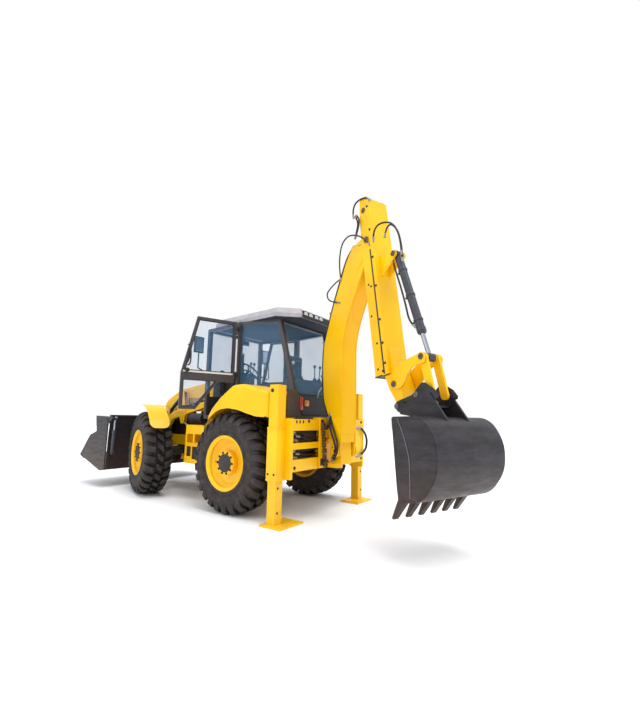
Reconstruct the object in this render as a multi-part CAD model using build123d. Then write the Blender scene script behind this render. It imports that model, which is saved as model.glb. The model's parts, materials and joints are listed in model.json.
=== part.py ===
from build123d import *
import os
from math import atan2, cos, degrees, hypot, radians, sin

# A backhoe loader, modelled in millimetres about a point on the ground near its rear axle:
# +X forward, +Y to the driver's left, +Z up. The backhoe is modelled about its kingpin,
# with +X pointing along the boom away from the machine, and is then turned to its swing angle.

# ---- driving dimensions -------------------------------------------------------------
rear_axle_x = -90
wheelbase = 2130
front_axle_x = rear_axle_x + wheelbase
track = 1790                    # between the tyres' middles
tyre_radius = 695
tyre_width = 430
rim_radius = 378
kingpin_half_track = 720        # front steering pivots, from the middle
spindle_radius = 40
spindle_length = 50
steer_pin = 25                  # radius of a steering pivot
steer_angle = -17               # front wheels at rest, turned to the right
running_gap = 0.5               # radial gap of a pin or rod in its bore
side_gap = 5                    # gap beside a moving piece
slide_play = 0.3                # between a slide's two faces
pin_collar = 16                 # of an eye, round its pin

rail_outer = 300                # main frame rails
rail_thickness = 40
rail_bottom = 800
rail_top = 980
rail_rear = -1000
rail_front = 2440
tow_x = 2560                    # bore for a tow pin, in a plate under the rails' front
tow_z = (770, 800)
tow_bore = 16

cab_floor = 1350
cab_base = 60                   # depth of the floor's beams
cab_head = 2800                 # underside of the roof
roof_top = 2950
roof_wall = 12
cab_front_x = 1000
door_post_x = 150
cab_rear_x = -880
rear_head_x = -600              # the cab's rear slopes forward to its head
cab_front_y = 640               # half widths of the cab at its three posts
door_post_y = 740
cab_rear_y = 560
post_size = 60
glass_thickness = 6
panel_thickness = 8
door_angle = 75                 # left door at rest, away from closed
door_thickness = 36
hinge_pin = 8
hinge_offset = 14               # of a door's hinge axis, from its post's corner
hinge_z = (1960, 2680)

fender_inner = 540
fender_outer = 1135

bonnet_half_width = 316
bonnet_rear = 1180
bonnet_front = 2600
bonnet_bottom = 1420
bonnet_top = 1960
bonnet_tab = 14                 # radius of the tabs at the bonnet's hinge
bonnet_wall = 5
cowl_wall = 6
bonnet_hinge = (1160, 1985)

tower_inner = 322               # loader towers beside the bonnet
tower_outer = 346
arm_inner = 357                 # loader arms
arm_outer = 417
ram_pin = 20                    # radii of the loader's pins
loader_pin = 30
bucket_pin = 26
clam_pin = 24
loader_collar = 12              # of a pin, beyond the arm it carries
loader_pivot = (1150, 1560)
arm_knee = (2250, 1340)
bucket_pivot = (2960, 470)
bucket_upper_pin = (2940, 900)
bucket_half_width = 1175
lift_base = (900, 700)
lift_eye = (1880, 1225)
tilt_base = (1900, 1745)
clam_pivot = (3075, 1225)
clam_eye = (2925, 1255)
clam_base = (2945, 640)

housing_x = (-1050, -900)       # stabilizer housings
housing_y = (950, 1100)
housing_z = (540, 1745)
housing_wall = 9
leg_top = 1240
leg_wall = 10
leg_gap = 0.4
pad_x = (-1190, -850)
pad_y = (700, 1160)
pad_thickness = 24

frame_rear_x = -1150            # rear frame that carries the carriage
top_rail_z = (1170, 1320)
mid_rail_z = (930, 1010)
low_rail_z = (650, 800)

kingpin_x = -1340
carriage_y = 140
carriage_half_width = 210
carriage_reach = 155            # of the carriage's lugs, from the kingpin
lug_half = 70                   # half width of those lugs
swing = 22                      # boom at rest, to the left
kingpin_radius = 35
lower_lug_z = (660, 720)
upper_lug_z = (990, 1050)

# backhoe points, (distance behind the kingpin, height)
boom_foot = (150, 905)
boom_ram_base = (-75, 1165)
boom_ram_eye = (-100, 2230)
boom_tip = (805, 3660)
dipper_ram_base = (-17, 2692)
dipper_ram_eye = (725, 4110)
bucket_ram_base = (1225, 3340)
bucket_ram_eye = (1695, 2010)
idler_pivot = (1285, 1740)
coupler_pin = (1405, 1490)
coupler_link_pin = (1800, 1600)
dipper_lean = 9.1               # of the dipper's length from the vertical

boom_half = 125
boom_plate = 14
dipper_play = 6                 # between the boom's and the dipper's plates
dipper_half = boom_half + dipper_play + boom_plate
dipper_front = -120             # dipper's depth, across its length from the boom's tip pin
dipper_rear = 105
hoe_bucket_half = 500
shell_thickness = 22
hoe_pin_radius = 30
foot_pin_radius = 35
tip_pin_radius = 38
boss_radius = 34                # round the eyes of the backhoe's cylinders


# ---- shapes -------------------------------------------------------------------------
def block(x, y, z):
    """Box between two limits on each axis."""
    middle = [(low + high) / 2 for low, high in (x, y, z)]
    return Pos(*middle) * Box(*[high - low for low, high in (x, y, z)])


def side_plate(outline, y):
    """Plate with an outline of (x, z) points, between two y limits. A third value rounds a corner."""
    face = make_face(Polyline(*[point[:2] for point in outline], close=True))
    for x, z, radius in [point for point in outline if len(point) > 2]:
        corner = face.vertices().sort_by_distance((x, z, 0))[0]
        face = fillet(corner, radius)
    plane = Plane(origin=(0, y[1], 0), x_dir=(1, 0, 0), z_dir=(0, -1, 0))
    return extrude(plane * face, amount=y[1] - y[0])


def flat_plate(outline, z):
    """Plate with an outline of (x, y) points, between two z limits."""
    face = make_face(Polyline(*outline, close=True))
    return extrude(Pos(0, 0, z[0]) * face, amount=z[1] - z[0])


def rod(start, end, radius):
    """Round bar from one point to another."""
    axis = Vector(*end) - Vector(*start)
    plane = Plane(origin=start, z_dir=axis)
    return plane.location * Pos(0, 0, axis.length / 2) * Cylinder(radius, axis.length)


def cross_bar(point, y, radius):
    """Round bar across the machine at an (x, z) point, between two y limits."""
    return rod((point[0], y[0], point[1]), (point[0], y[1], point[1]), radius)


def both_sides(shape):
    """A piece and its mirror image on the other side."""
    return [shape, mirror(shape, Plane.XZ)]


def beside(points, distance):
    """Line that follows (x, z) points at a distance to the right; corner radii follow too."""
    normals = []
    for start, end in zip(points, points[1:]):
        length = hypot(end[0] - start[0], end[1] - start[1])
        normals.append(((end[1] - start[1]) / length, (start[0] - end[0]) / length))
    far = []
    for point, (ax, az), (bx, bz) in zip(points, normals[:1] + normals, normals + normals[-1:]):
        reach = distance / (1 + ax * bx + az * bz)
        moved = (point[0] + (ax + bx) * reach, point[1] + (az + bz) * reach)
        if len(point) > 2:
            turns_left = ax * bz - az * bx > 0
            moved = moved + (point[2] + distance if turns_left else point[2] - distance,)
        far.append(moved)
    return far


def strip(points, thickness, y):
    """Bent sheet along (x, z) points; its thickness is to the right of the way it runs."""
    return side_plate(points + beside(points, thickness)[::-1], y)


def ram(base, eye, barrel_length, barrel_radius, rod_radius, y, eye_width, pin):
    """Hydraulic cylinder in the X-Z plane: returns its barrel and its rod."""
    length = hypot(eye[0] - base[0], eye[1] - base[1])
    ux, uz = (eye[0] - base[0]) / length, (eye[1] - base[1]) / length

    def at(distance):
        return (base[0] + ux * distance, y, base[1] + uz * distance)

    half = eye_width / 2
    bottom = pin + 8
    barrel = rod(at(bottom), at(barrel_length), barrel_radius)
    barrel = barrel + rod(at(barrel_length - 50), at(barrel_length), barrel_radius + 5)
    barrel = barrel + cross_bar(base, (y - half, y + half), pin + pin_collar)
    barrel = barrel - rod(at(bottom + 40), at(barrel_length + 1), rod_radius + running_gap)
    barrel = barrel - cross_bar(base, (y - half - 1, y + half + 1), pin + running_gap)
    inner_end = bottom + 60
    travel_end = max(inner_end, length - (barrel_length - 40))
    piston = rod(at(travel_end), at(length), rod_radius)
    piston = piston + cross_bar(eye, (y - half, y + half), pin + pin_collar)
    return barrel, piston


def tube_box(x, y, z, wall):
    """Square tube standing along Z."""
    inner = block((x[0] + wall, x[1] - wall), (y[0] + wall, y[1] - wall), (z[0] - 1, z[1] + 1))
    return block(x, y, z) - inner


def fused(shapes):
    """Shapes made one piece."""
    whole = shapes[0]
    for shape in shapes[1:]:
        whole = whole + shape
    return whole


parts = {}

# ---- main frame ---------------------------------------------------------------------
rail_y = (rail_outer - rail_thickness, rail_outer)
rails = both_sides(block((rail_rear, rail_front), rail_y, (rail_bottom, rail_top)))
frame = rails[0] + rails[1]
for cross_x in (rail_rear, 560, rail_front - 60):
    frame = frame + block((cross_x, cross_x + 60), (-rail_outer, rail_outer), (rail_bottom, rail_top))
tower_outline = [
    (850, 640), (1320, 640), (1320, 1500), (1230, 1640), (1070, 1640), (1010, 1500), (1010, 1280), (850, 800),
]
for side in (1, -1):
    y = sorted((side * tower_inner, side * tower_outer))
    frame = frame + side_plate(tower_outline, y)
    y_spacer = sorted((side * rail_outer, side * tower_inner))
    frame = frame + block((900, 1300), y_spacer, (rail_bottom, rail_top))
    for point, radius in ((loader_pivot, loader_pin), (lift_base, ram_pin)):
        y_pin = sorted((side * tower_outer, side * (arm_outer + loader_collar)))
        frame = frame + cross_bar(point, y_pin, radius)
for x in (-780, 600):
    for y in ((-rail_outer, -rail_outer + 60), (rail_outer - 60, rail_outer)):
        frame = frame + block((x, x + 80), y, (rail_top - 1, cab_floor - cab_base))
tow_plate = block((rail_front - 60, tow_x + 40), (-60, 60), tow_z)
frame = frame + (tow_plate - rod((tow_x, 0, tow_z[0] - 1), (tow_x, 0, tow_z[1] + 1), tow_bore))
parts["main_frame"] = [frame]

axles = []
for axle_x in (rear_axle_x, front_axle_x):
    half = 640 if axle_x == front_axle_x else 780
    beam = rod((axle_x, -half, tyre_radius), (axle_x, half, tyre_radius), 72)
    beam = beam + Pos(axle_x, 0, tyre_radius) * Sphere(150)
    for side in (1, -1):
        seat_y = sorted((side * rail_y[0], side * rail_y[1]))
        beam = beam + block((axle_x - 90, axle_x + 90), seat_y, (tyre_radius, rail_bottom))
    if axle_x == front_axle_x:
        for side in (1, -1):
            y_web = sorted((side * 600, side * 640))
            y_fork = sorted((side * 600, side * 780))
            beam = beam + block((axle_x - 60, axle_x + 60), y_web, (510, 890))
            for z, z_pin in (((855, 890), (820, 890)), ((510, 545), (510, 580))):
                beam = beam + block((axle_x - 60, axle_x + 60), y_fork, z)
                middle = side * kingpin_half_track
                beam = beam + rod((axle_x, middle, z_pin[0]), (axle_x, middle, z_pin[1]), steer_pin)
    else:
        end = half + spindle_length
        beam = beam + rod((axle_x, -end, tyre_radius), (axle_x, end, tyre_radius), spindle_radius)
    axles.append(beam)
parts["axle_housings"] = axles

engine = block((1340, 2330), (-225, 225), (880, 1380)) + block((640, 1340), (-190, 190), (760, 1150))
for x in ((1400, 1480), (2200, 2280)):
    engine = engine + block(x, (-rail_y[0], rail_y[0]), (900, 960))
parts["engine_block"] = [engine, rod((1110, -260, 1960), (1110, -260, 2520), 45)]

# ---- wheels -------------------------------------------------------------------------
half_tyre = tyre_width / 2
bead_radius = rim_radius - 35
rim_wall = 12
hub_back = -110
spindle_bore = spindle_radius + running_gap
# Half profiles: (radius, distance outwards from the tyre's middle).
disc_profile = [
    (0, -40), (spindle_bore, -40), (spindle_bore, hub_back), (150, hub_back), (150, 86), (266, 86),
    (bead_radius - 4, 136), (bead_radius - 4, 152), (272, 100), (165, 100), (165, 178), (148, 190), (0, 190),
]
barrel_profile = [
    (bead_radius, -half_tyre + 34), (rim_radius, -half_tyre + 16), (rim_radius, -half_tyre + 6),
    (rim_radius - rim_wall, -half_tyre + 6), (bead_radius - rim_wall, -half_tyre + 30),
    (bead_radius - rim_wall, half_tyre - 30), (rim_radius - rim_wall, half_tyre - 6),
    (rim_radius, half_tyre - 6), (rim_radius, half_tyre - 16), (bead_radius, half_tyre - 34),
]
tyre_profile = [
    (bead_radius, -half_tyre + 34), (rim_radius + 20, -half_tyre + 8), (rim_radius + 130, -half_tyre),
    (tyre_radius - 60, -half_tyre + 8), (tyre_radius - 20, -half_tyre + 50), (tyre_radius, -half_tyre + 90),
    (tyre_radius, half_tyre - 90), (tyre_radius - 20, half_tyre - 50), (tyre_radius - 60, half_tyre - 8),
    (rim_radius + 130, half_tyre), (rim_radius + 20, half_tyre - 8), (bead_radius, half_tyre - 34),
]


def turned(profile):
    """Solid of revolution about Y from (radius, y) points."""
    face = make_face(Polyline(*[(radius, y, 0) for radius, y in profile], close=True))
    return revolve(face, Axis.Y, 360)


def wheel(side):
    """Rim and tyre of one wheel about its own centre; the outside faces +Y on side 1."""
    rim = turned(disc_profile) + turned(barrel_profile)
    tyre = turned(tyre_profile)
    if side < 0:
        rim, tyre = [mirror(piece, Plane.XZ) for piece in (rim, tyre)]
    return rim, tyre


wheel_y = track / 2
guard_radius = 820              # outside of the front fenders, which steer with the wheels
guard_y = (55, 365)             # their width, outwards from the steering pivot
guard_corner = 100
for side, name in ((1, "left"), (-1, "right")):
    rim, tyre = wheel(side)
    place = Pos(rear_axle_x, side * wheel_y, tyre_radius)
    parts[f"rim_rear_{name}"] = [place * rim]
    parts[f"tyre_rear_{name}"] = [place * tyre]
    pivot = Pos(front_axle_x, side * kingpin_half_track, tyre_radius) * Rot(0, 0, steer_angle)
    place = pivot * Pos(0, side * (wheel_y - kingpin_half_track), 0)
    parts[f"rim_front_{name}"] = [place * rim]
    parts[f"tyre_front_{name}"] = [place * tyre]
    knuckle = Cylinder(60, 300) + rod((0, 0, 0), (0, side * 60, 0), 100)
    knuckle = knuckle + rod((0, 0, 0), (0, side * (60 + spindle_length), 0), spindle_radius)
    knuckle = knuckle - Cylinder(steer_pin + running_gap, 400)
    parts[f"knuckle_{name}"] = [pivot * knuckle]
    inner_y, outer_y = side * guard_y[0], side * guard_y[1]
    ring = rod((0, inner_y, 0), (0, outer_y, 0), guard_radius)
    ring = ring - rod((0, inner_y - side, 0), (0, outer_y + side, 0), guard_radius - panel_thickness)
    wedge = side_plate([(0, 0), (70, 900), (-900, 900), (-900, 560)], sorted((inner_y, outer_y)))
    guard = ring & wedge
    guard = fillet(guard.edges().filter_by(lambda edge: edge.length < panel_thickness + 4), guard_corner)
    # The fender's stay stands on the knuckle, inside the tyre, and reaches out under the sheet.
    under = (guard_radius - 29, guard_radius - 17)
    stay = block((-150, -40), sorted((side * -30, side * -10)), (100, 140)) - Cylinder(60, 400)
    stay = stay + block((-150, -120), sorted((side * -80, side * -10)), (100, 140))
    stay = stay + block((-150, -120), sorted((side * -80, side * -55)), (100, under[1]))
    stay = stay + block((-150, -120), sorted((side * -80, side * 200)), under)
    parts[f"front_fender_{name}"] = [pivot * (guard + stay)]

# ---- cab ----------------------------------------------------------------------------
posts = ((cab_front_x, cab_front_y), (door_post_x, door_post_y), (cab_rear_x, cab_rear_y))


def cab_outline(inset=0):
    """Cab's plan, drawn in by an inset."""
    left = [(cab_front_x - inset, cab_front_y - inset), (door_post_x, door_post_y - inset),
            (cab_rear_x + inset, cab_rear_y - inset)]
    return left + [(x, -y) for x, y in reversed(left)]


tub_half = 664                  # the cab's lower body, between the rear wheels
sill_top = cab_floor + 310
shoulder = (1420, 1440)
head_depth = 50
tub_outline = [(cab_front_x, cab_front_y), (door_post_x, tub_half), (cab_rear_x, cab_rear_y)]
tub_outline = tub_outline + [(x, -y) for x, y in reversed(tub_outline)]


def drawn_in(outline, wall):
    """A plan's points, each moved towards the middle by a wall."""
    return [(x - wall if x > 0 else x + wall, y - wall if y > 0 else y + wall) for x, y in outline]


cab = flat_plate(tub_outline, (cab_floor - cab_base, cab_floor))
sill = flat_plate(tub_outline, (cab_floor, shoulder[1])) + flat_plate(cab_outline(), (shoulder[0], sill_top))
sill = sill - flat_plate(drawn_in(tub_outline, panel_thickness), (cab_floor - 1, shoulder[1]))
sill = sill - flat_plate(cab_outline(panel_thickness), (shoulder[1], sill_top + 1))
cab = cab + (sill - block((door_post_x + 20, cab_front_x - 40), (-900, 900), (cab_floor, sill_top + 1)))
cab = cab + block((cab_front_x - 40, cab_front_x), (-cab_front_y, cab_front_y), (cab_floor, sill_top))
for x, y in posts[:2]:
    for side in (1, -1):
        y_post = sorted((side * (y - post_size), side * y))
        z_low = shoulder[1] if x == door_post_x else cab_floor
        cab = cab + block((x - post_size, x), y_post, (z_low, cab_head))
# The rear posts lie in the slanting side walls and lean forward above the sill.
lean_line = [(cab_rear_x, sill_top), (rear_head_x, cab_head)]
rear_post = [(cab_rear_x, cab_floor)] + lean_line + [(x + post_size, z) for x, z in reversed(lean_line)]
rear_post = side_plate(rear_post + [(cab_rear_x + post_size, cab_floor)], (-900, 900))
side_wall = [(door_post_x, door_post_y), (cab_rear_x, cab_rear_y), (cab_rear_x, cab_rear_y - post_size),
             (door_post_x, door_post_y - post_size)]
for side in (1, -1):
    wall = flat_plate([(x, side * y) for x, y in side_wall], (cab_floor, cab_head))
    cab = cab + (rear_post & wall)
cab_rake = [(cab_front_x + 100, cab_floor), (cab_front_x + 100, cab_head), (rear_head_x, cab_head),
            (cab_rear_x, sill_top), (cab_rear_x, cab_floor)]
cab_rake = side_plate(cab_rake, (-900, 900))
head = flat_plate(cab_outline(), (cab_head - head_depth, cab_head))
head = head - flat_plate(cab_outline(post_size), (cab_head - head_depth - 1, cab_head + 1))
head_z = (cab_head - head_depth, cab_head)
rear_rail = block((rear_head_x - 12, rear_head_x + post_size), (-cab_rear_y, cab_rear_y), head_z)
cab = cab + ((head + rear_rail) & cab_rake)
for side in (1, -1):
    pin_x, pin_y = door_post_x + hinge_offset, side * (door_post_y + hinge_offset)
    for z in hinge_z:
        for low in (z - 32, z + 20):
            tab = [(pin_x - 30, pin_y - side * 30), (pin_x - 24, pin_y + side * 12),
                   (pin_x + 12, pin_y + side * 12), (pin_x + 12, pin_y - side * 24)]
            tab = flat_plate(tab, (low, low + 12))
            cab = cab + (tab - block((0, door_post_x - post_size), (-900, 900), (low, low + 12)))
        cab = cab + rod((pin_x, pin_y, z - 32), (pin_x, pin_y, z + 32), hinge_pin)
parts["cab_frame"] = [cab]

roof_outline = [(900, 500), (780, 660), (-620, 740), (-900, 480)]
roof_outline = roof_outline + [(x, -y) for x, y in reversed(roof_outline)]
roof_lip = 55                   # upright edge of the roof, under its sloping shoulder
roof_taper = 38
roof_face = make_face(Polyline(*roof_outline, close=True))
roof = extrude(Pos(0, 0, cab_head) * roof_face, amount=roof_lip)
roof_rise = roof_top - cab_head - roof_lip
roof = roof + extrude(Pos(0, 0, cab_head + roof_lip) * roof_face, amount=roof_rise, taper=roof_taper)
lining = make_face(Polyline(*drawn_in(roof_outline, roof_wall), close=True))
hollow = extrude(Pos(0, 0, cab_head - 1) * lining, amount=roof_lip + 1)
lining = Pos(0, 0, cab_head + roof_lip) * lining
hollow = hollow + extrude(lining, amount=roof_rise - roof_wall, taper=roof_taper)
lamp_recess = block((-901, -870), (-430, 430), (cab_head + 12, cab_head + 125))
parts["cab_roof"] = [roof - hollow - lamp_recess]

# Rear lamp panel, and mirrors on stalks from the cab's front posts.
stalk_radius = 11
fittings = [block((-893, -870), (-428, 428), (cab_head + 14, cab_head + 110))]
for side in (1, -1):
    stalk_x, foot_y, head_y = cab_front_x + 25, side * cab_front_y, side * 790
    arm = rod((cab_front_x, foot_y - side * 20, 2060), (stalk_x + 20, foot_y - side * 20, 2060), 16)
    elbow = (stalk_x, head_y, 2130)
    arm = arm + rod((stalk_x, foot_y - side * 22, 2060), elbow, stalk_radius)
    arm = arm + Pos(*elbow) * Sphere(stalk_radius) + rod(elbow, (stalk_x, head_y, 2480), stalk_radius)
    y_glass = sorted((head_y - side * 80, head_y + side * 90))
    arm = arm + block((stalk_x - 20, stalk_x + 22), y_glass, (2380, 2650))
    fittings.append(arm)
parts["cab_fittings"] = fittings

seat = block((-330, 180), (-240, 240), (cab_floor + 380, cab_floor + 500))
seat_back = block((-400, -335), (-240, 240), (cab_floor + 380, cab_floor + 1000))
seat_base = block((-250, 100), (-150, 150), (cab_floor, cab_floor + 380))
parts["seat"] = [seat, seat_back]
parts["seat_base"] = [seat_base + block((-400, -250), (-150, 150), (cab_floor + 300, cab_floor + 380))]
console = block((740, 940), (-250, 250), (cab_floor, cab_floor + 700))
column_foot = Vector(790, 0, cab_floor + 640)
column_head = Vector(640, 0, cab_floor + 790)
column = rod(column_foot, column_head, 25)
rim_plane = Plane(origin=column_head, z_dir=column_head - column_foot)
steering_wheel = rim_plane.location * Torus(190, 15)
for turn in (90, 210, 330):
    steering_wheel = steering_wheel + rim_plane.location * Rot(0, 0, turn) * Pos(95, 0, 0) * Box(180, 30, 12)
hoe_console = block((-760, -600), (-450, 450), (cab_floor, cab_floor + 560))
parts["cab_controls"] = [console + column + steering_wheel, hoe_console]

pane_low = sill_top
pane_high = cab_head - head_depth
half = glass_thickness / 2
front_pane_x = cab_front_x - 33
rear_pane_inset = 27
front_pane = block((front_pane_x - half, front_pane_x + half),
                   (-cab_front_y + post_size, cab_front_y - post_size), (pane_low, pane_high))
rear_slope = (rear_head_x - cab_rear_x) / (cab_head - sill_top)
rear_pane_x = (cab_rear_x + rear_pane_inset,
               cab_rear_x + rear_pane_inset + rear_slope * (pane_high - pane_low))
rear_pane = side_plate([(rear_pane_x[0] - half, pane_low), (rear_pane_x[0] + half, pane_low),
                        (rear_pane_x[1] + half, pane_high), (rear_pane_x[1] - half, pane_high)], (-700, 700))
rear_pane = (rear_pane & flat_plate(cab_outline(post_size / 2), (pane_low, pane_high))) - cab
panes = [front_pane, rear_pane]
for side in (1, -1):
    centre = [(x, side * (y - 20 - half)) for x, y in posts[1:]]
    outline = [(x, y + half) for x, y in centre] + [(x, y - half) for x, y in reversed(centre)]
    pane = flat_plate(outline, (pane_low, pane_high))
    panes.append((pane & cab_rake) - cab)
parts["cab_glass"] = panes


def door(side):
    """Door frame and its panes, closed, about its hinge: +X towards the front."""
    width = 790
    outline = [(0, 1840), (250, 1840), (560, 1430), (width, 1430), (width, 1950), (600, 2790), (0, 2790)]
    windows = ([(45, 1990), (width - 55, 1990), (570, 2745), (45, 2745)],
               [(285, 1850), (570, 1475), (width - 40, 1475), (width - 40, 1850)])
    frame = side_plate(outline, (0, door_thickness))
    for window in windows:
        frame = frame - side_plate(window, (-1, door_thickness + 1))
    pane_y = ((door_thickness - glass_thickness) / 2, (door_thickness + glass_thickness) / 2)
    panes = [side_plate(window, pane_y) for window in windows]
    for z in hinge_z:
        leaf = block((-12, 40), (8, 14), (z - 15, z + 15)) + rod((0, 0, z - 15), (0, 0, z + 15), 14)
        frame = frame + Pos(-20, -8, 0) * leaf
        frame = frame - Pos(-20, -8, 0) * rod((0, 0, z - 16), (0, 0, z + 16), hinge_pin + running_gap)
    hand = Pos(20, side * 8, 0)
    if side < 0:
        frame = mirror(frame, Plane.XZ)
        panes = [mirror(pane, Plane.XZ) for pane in panes]
    return [hand * frame], [hand * pane for pane in panes]


closed_angle = degrees(atan2(cab_front_y - door_post_y, cab_front_x - door_post_x))
for side, name, opened in ((1, "left", door_angle), (-1, "right", 0)):
    place = Pos(door_post_x + hinge_offset, side * (door_post_y + hinge_offset), 0)
    place = place * Rot(0, 0, side * (closed_angle + opened))
    frame_pieces, pane_pieces = door(side)
    parts[f"door_{name}"] = [place * piece for piece in frame_pieces]
    parts[f"door_{name}_glass"] = [place * piece for piece in pane_pieces]

# ---- bodywork -----------------------------------------------------------------------
fender_line = [
    (-890, 1100), (-890, 1675, 40), (-400, 1785, 160), (-215, 1775, 160), (40, 1610, 400), (215, 1450, 300),
    (285, 1345, 120), (325, 1150),
]
fender_arch = [
    (-891, 1000), (-891, 1336), (-685, 1346, 300), (-497, 1389, 300), (-359, 1426, 300), (-157, 1453, 300),
    (9, 1434, 300), (112, 1395, 250), (257, 1293, 250), (318, 1200), (400, 1000),
]
fender_edge = 55                # rounding of the fender's outer edge


def crown(line, y, rounding):
    """Solid under a line of (x, z) points, rounded along its outer side."""
    shape = side_plate(line + [(line[-1][0], 1000), (line[0][0], 1000)], y)
    edges = shape.edges().filter_by(lambda edge: abs(edge.center().Y - y[1]) < 1 and edge.center().Z > 1050)
    return fillet(edges, rounding)


fender = crown(fender_line, (fender_inner, fender_outer), fender_edge)
fender = fender - crown(beside(fender_line, panel_thickness),
                        (fender_inner - 1, fender_outer - panel_thickness), fender_edge - panel_thickness)
fender = fender - side_plate(fender_arch, (fender_inner - 1, fender_outer + 1))
wheel_space = (rear_axle_x, tyre_radius)
fender = fender - cross_bar(wheel_space, (fender_inner - 1, fender_outer - 14), tyre_radius + 12)
fender = fender - flat_plate(cab_outline(), (cab_floor - 100, cab_head))
fender = fender - block((door_post_x - post_size, door_post_x), (0, door_post_y), (cab_floor - 100, cab_head))
parts["rear_fenders"] = both_sides(fender)

bonnet_outer = [
    (bonnet_rear, bonnet_bottom), (bonnet_rear, bonnet_top), (2120, 1830, 500), (2500, 1650, 200),
    (bonnet_front, 1560, 60), (bonnet_front, bonnet_bottom),
]
bonnet_edge = 30                # rounding along the bonnet's two upper edges


def hood(outline, half_width, rounding):
    """Solid across the machine under an outline, rounded along its upper side edges."""
    shape = side_plate(outline, (-half_width, half_width))
    edges = shape.edges().filter_by(lambda edge: abs(abs(edge.center().Y) - half_width) < 1)
    edges = edges.filter_by(lambda edge: edge.center().Z > 1570)
    return fillet(edges, rounding)


bonnet_inside = [(bonnet_rear - 1, bonnet_bottom - 1)] + beside(bonnet_outer[1:-1], bonnet_wall)
bonnet_inside[1] = (bonnet_rear - 1, bonnet_inside[1][1])
bonnet_inside.append((bonnet_front - bonnet_wall, bonnet_bottom - 1))
bonnet = hood(bonnet_outer, bonnet_half_width, bonnet_edge)
bonnet = bonnet - hood(bonnet_inside, bonnet_half_width - bonnet_wall, bonnet_edge - bonnet_wall)
hinge_x, hinge_top = bonnet_hinge
for side in (1, -1):
    y = sorted((side * 120, side * 180))
    tab = [(hinge_x, hinge_top - bonnet_tab), (hinge_x, hinge_top + bonnet_tab), (hinge_x + 65, bonnet_top),
           (hinge_x + 65, bonnet_top - 14)]
    bonnet = bonnet + side_plate(tab, y) + cross_bar(bonnet_hinge, y, bonnet_tab)
bonnet = bonnet - cross_bar(bonnet_hinge, (-200, 200), hinge_pin + running_gap)
parts["bonnet"] = [bonnet]
bonnet_y = (-bonnet_half_width, bonnet_half_width)
cowl_roof = bonnet_top - cowl_wall
cowl_inside = bonnet_half_width - cowl_wall
cowl = block((cab_front_x, bonnet_rear - side_gap), bonnet_y, (bonnet_bottom, bonnet_top))
cowl_inside_z = (bonnet_bottom - 1, bonnet_top - cowl_wall)
cowl = cowl - block((cab_front_x - 1, bonnet_rear), (-cowl_inside, cowl_inside), cowl_inside_z)
for side in (1, -1):
    for low, high in ((103, 115), (185, 197)):
        lug = [(hinge_x - 20, cowl_roof), (hinge_x - 14, hinge_top + 10), (hinge_x + 10, hinge_top + 10),
               (hinge_x + 10, cowl_roof)]
        cowl = cowl + side_plate(lug, sorted((side * low, side * high)))
    cowl = cowl + cross_bar(bonnet_hinge, sorted((side * 103, side * 197)), hinge_pin)
parts["cowl"] = [cowl]
parts["front_grille"] = [block((2440, bonnet_front), bonnet_y, (820, bonnet_bottom - side_gap))]

# Battery box and air cylinder, and the steps that stand round the box, on each side.
box = block((880, 1210), (490, 770), (640, 870)) + block((1000, 1200), (tower_outer, 490), (640, 658))
cylinder = rod((1030, 590, 1290), (1360, 590, 1290), 85)
cylinder = cylinder + block((930, 1060), (530, 570), (cab_floor - cab_base - 12, cab_floor - cab_base))
parts["side_tanks"] = both_sides(box) + both_sides(cylinder)
step_x = (780, 1235)
step = block(step_x, (774, 786), (570, 1185))
step_windows = (((820, 1050), (640, 840)), ((820, 1000), (900, 1040)), ((1040, 1195), (900, 1040)),
                ((1080, 1195), (680, 840)))
for x, z in step_windows:
    step = step - block(x, (700, 800), z)
for z in (590, 885):
    step = step + block(step_x, (480, 800), (z, z + 12))
for x in step_x:
    step = step + block(sorted((x, x + 12 if x == step_x[0] else x - 12)), (480, 780), (570, 1185))
step = step + block((step_x[0], step_x[0] + 50), (rail_outer, 480), (900, 960))
parts["steps"] = both_sides(step)

# ---- rear frame and stabilizers -----------------------------------------------------
plate_in = housing_y[0] - 50
rear_depth = 60
rear = fused([block((frame_rear_x, frame_rear_x + rear_depth), (-plate_in, plate_in), z)
              for z in (top_rail_z, mid_rail_z, low_rail_z)])
for side in (1, -1):
    y = sorted((side * plate_in, side * housing_y[0]))
    rear = rear + block((frame_rear_x, housing_x[1]), y, (560, 1330))
    y_ear = sorted((side * rail_y[0], side * rail_y[1]))
    rear = rear + block((frame_rear_x + rear_depth, rail_rear), y_ear, (low_rail_z[0], top_rail_z[1] - 40))
parts["rear_frame"] = [rear]
parts["stabilizer_housings"] = both_sides(tube_box(housing_x, housing_y, housing_z, housing_wall)
                                         + block(housing_x, housing_y, (housing_z[1], housing_z[1] + 12)))
leg_inset = housing_wall + leg_gap
leg_x = (housing_x[0] + leg_inset, housing_x[1] - leg_inset)
leg_y = (housing_y[0] + leg_inset, housing_y[1] - leg_inset)
leg = tube_box(leg_x, leg_y, (pad_thickness, leg_top), leg_wall) + block(pad_x, pad_y, (0, pad_thickness))
for name, piece in zip(("left", "right"), both_sides(leg)):
    parts[f"stabilizer_leg_{name}"] = [piece]

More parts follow.
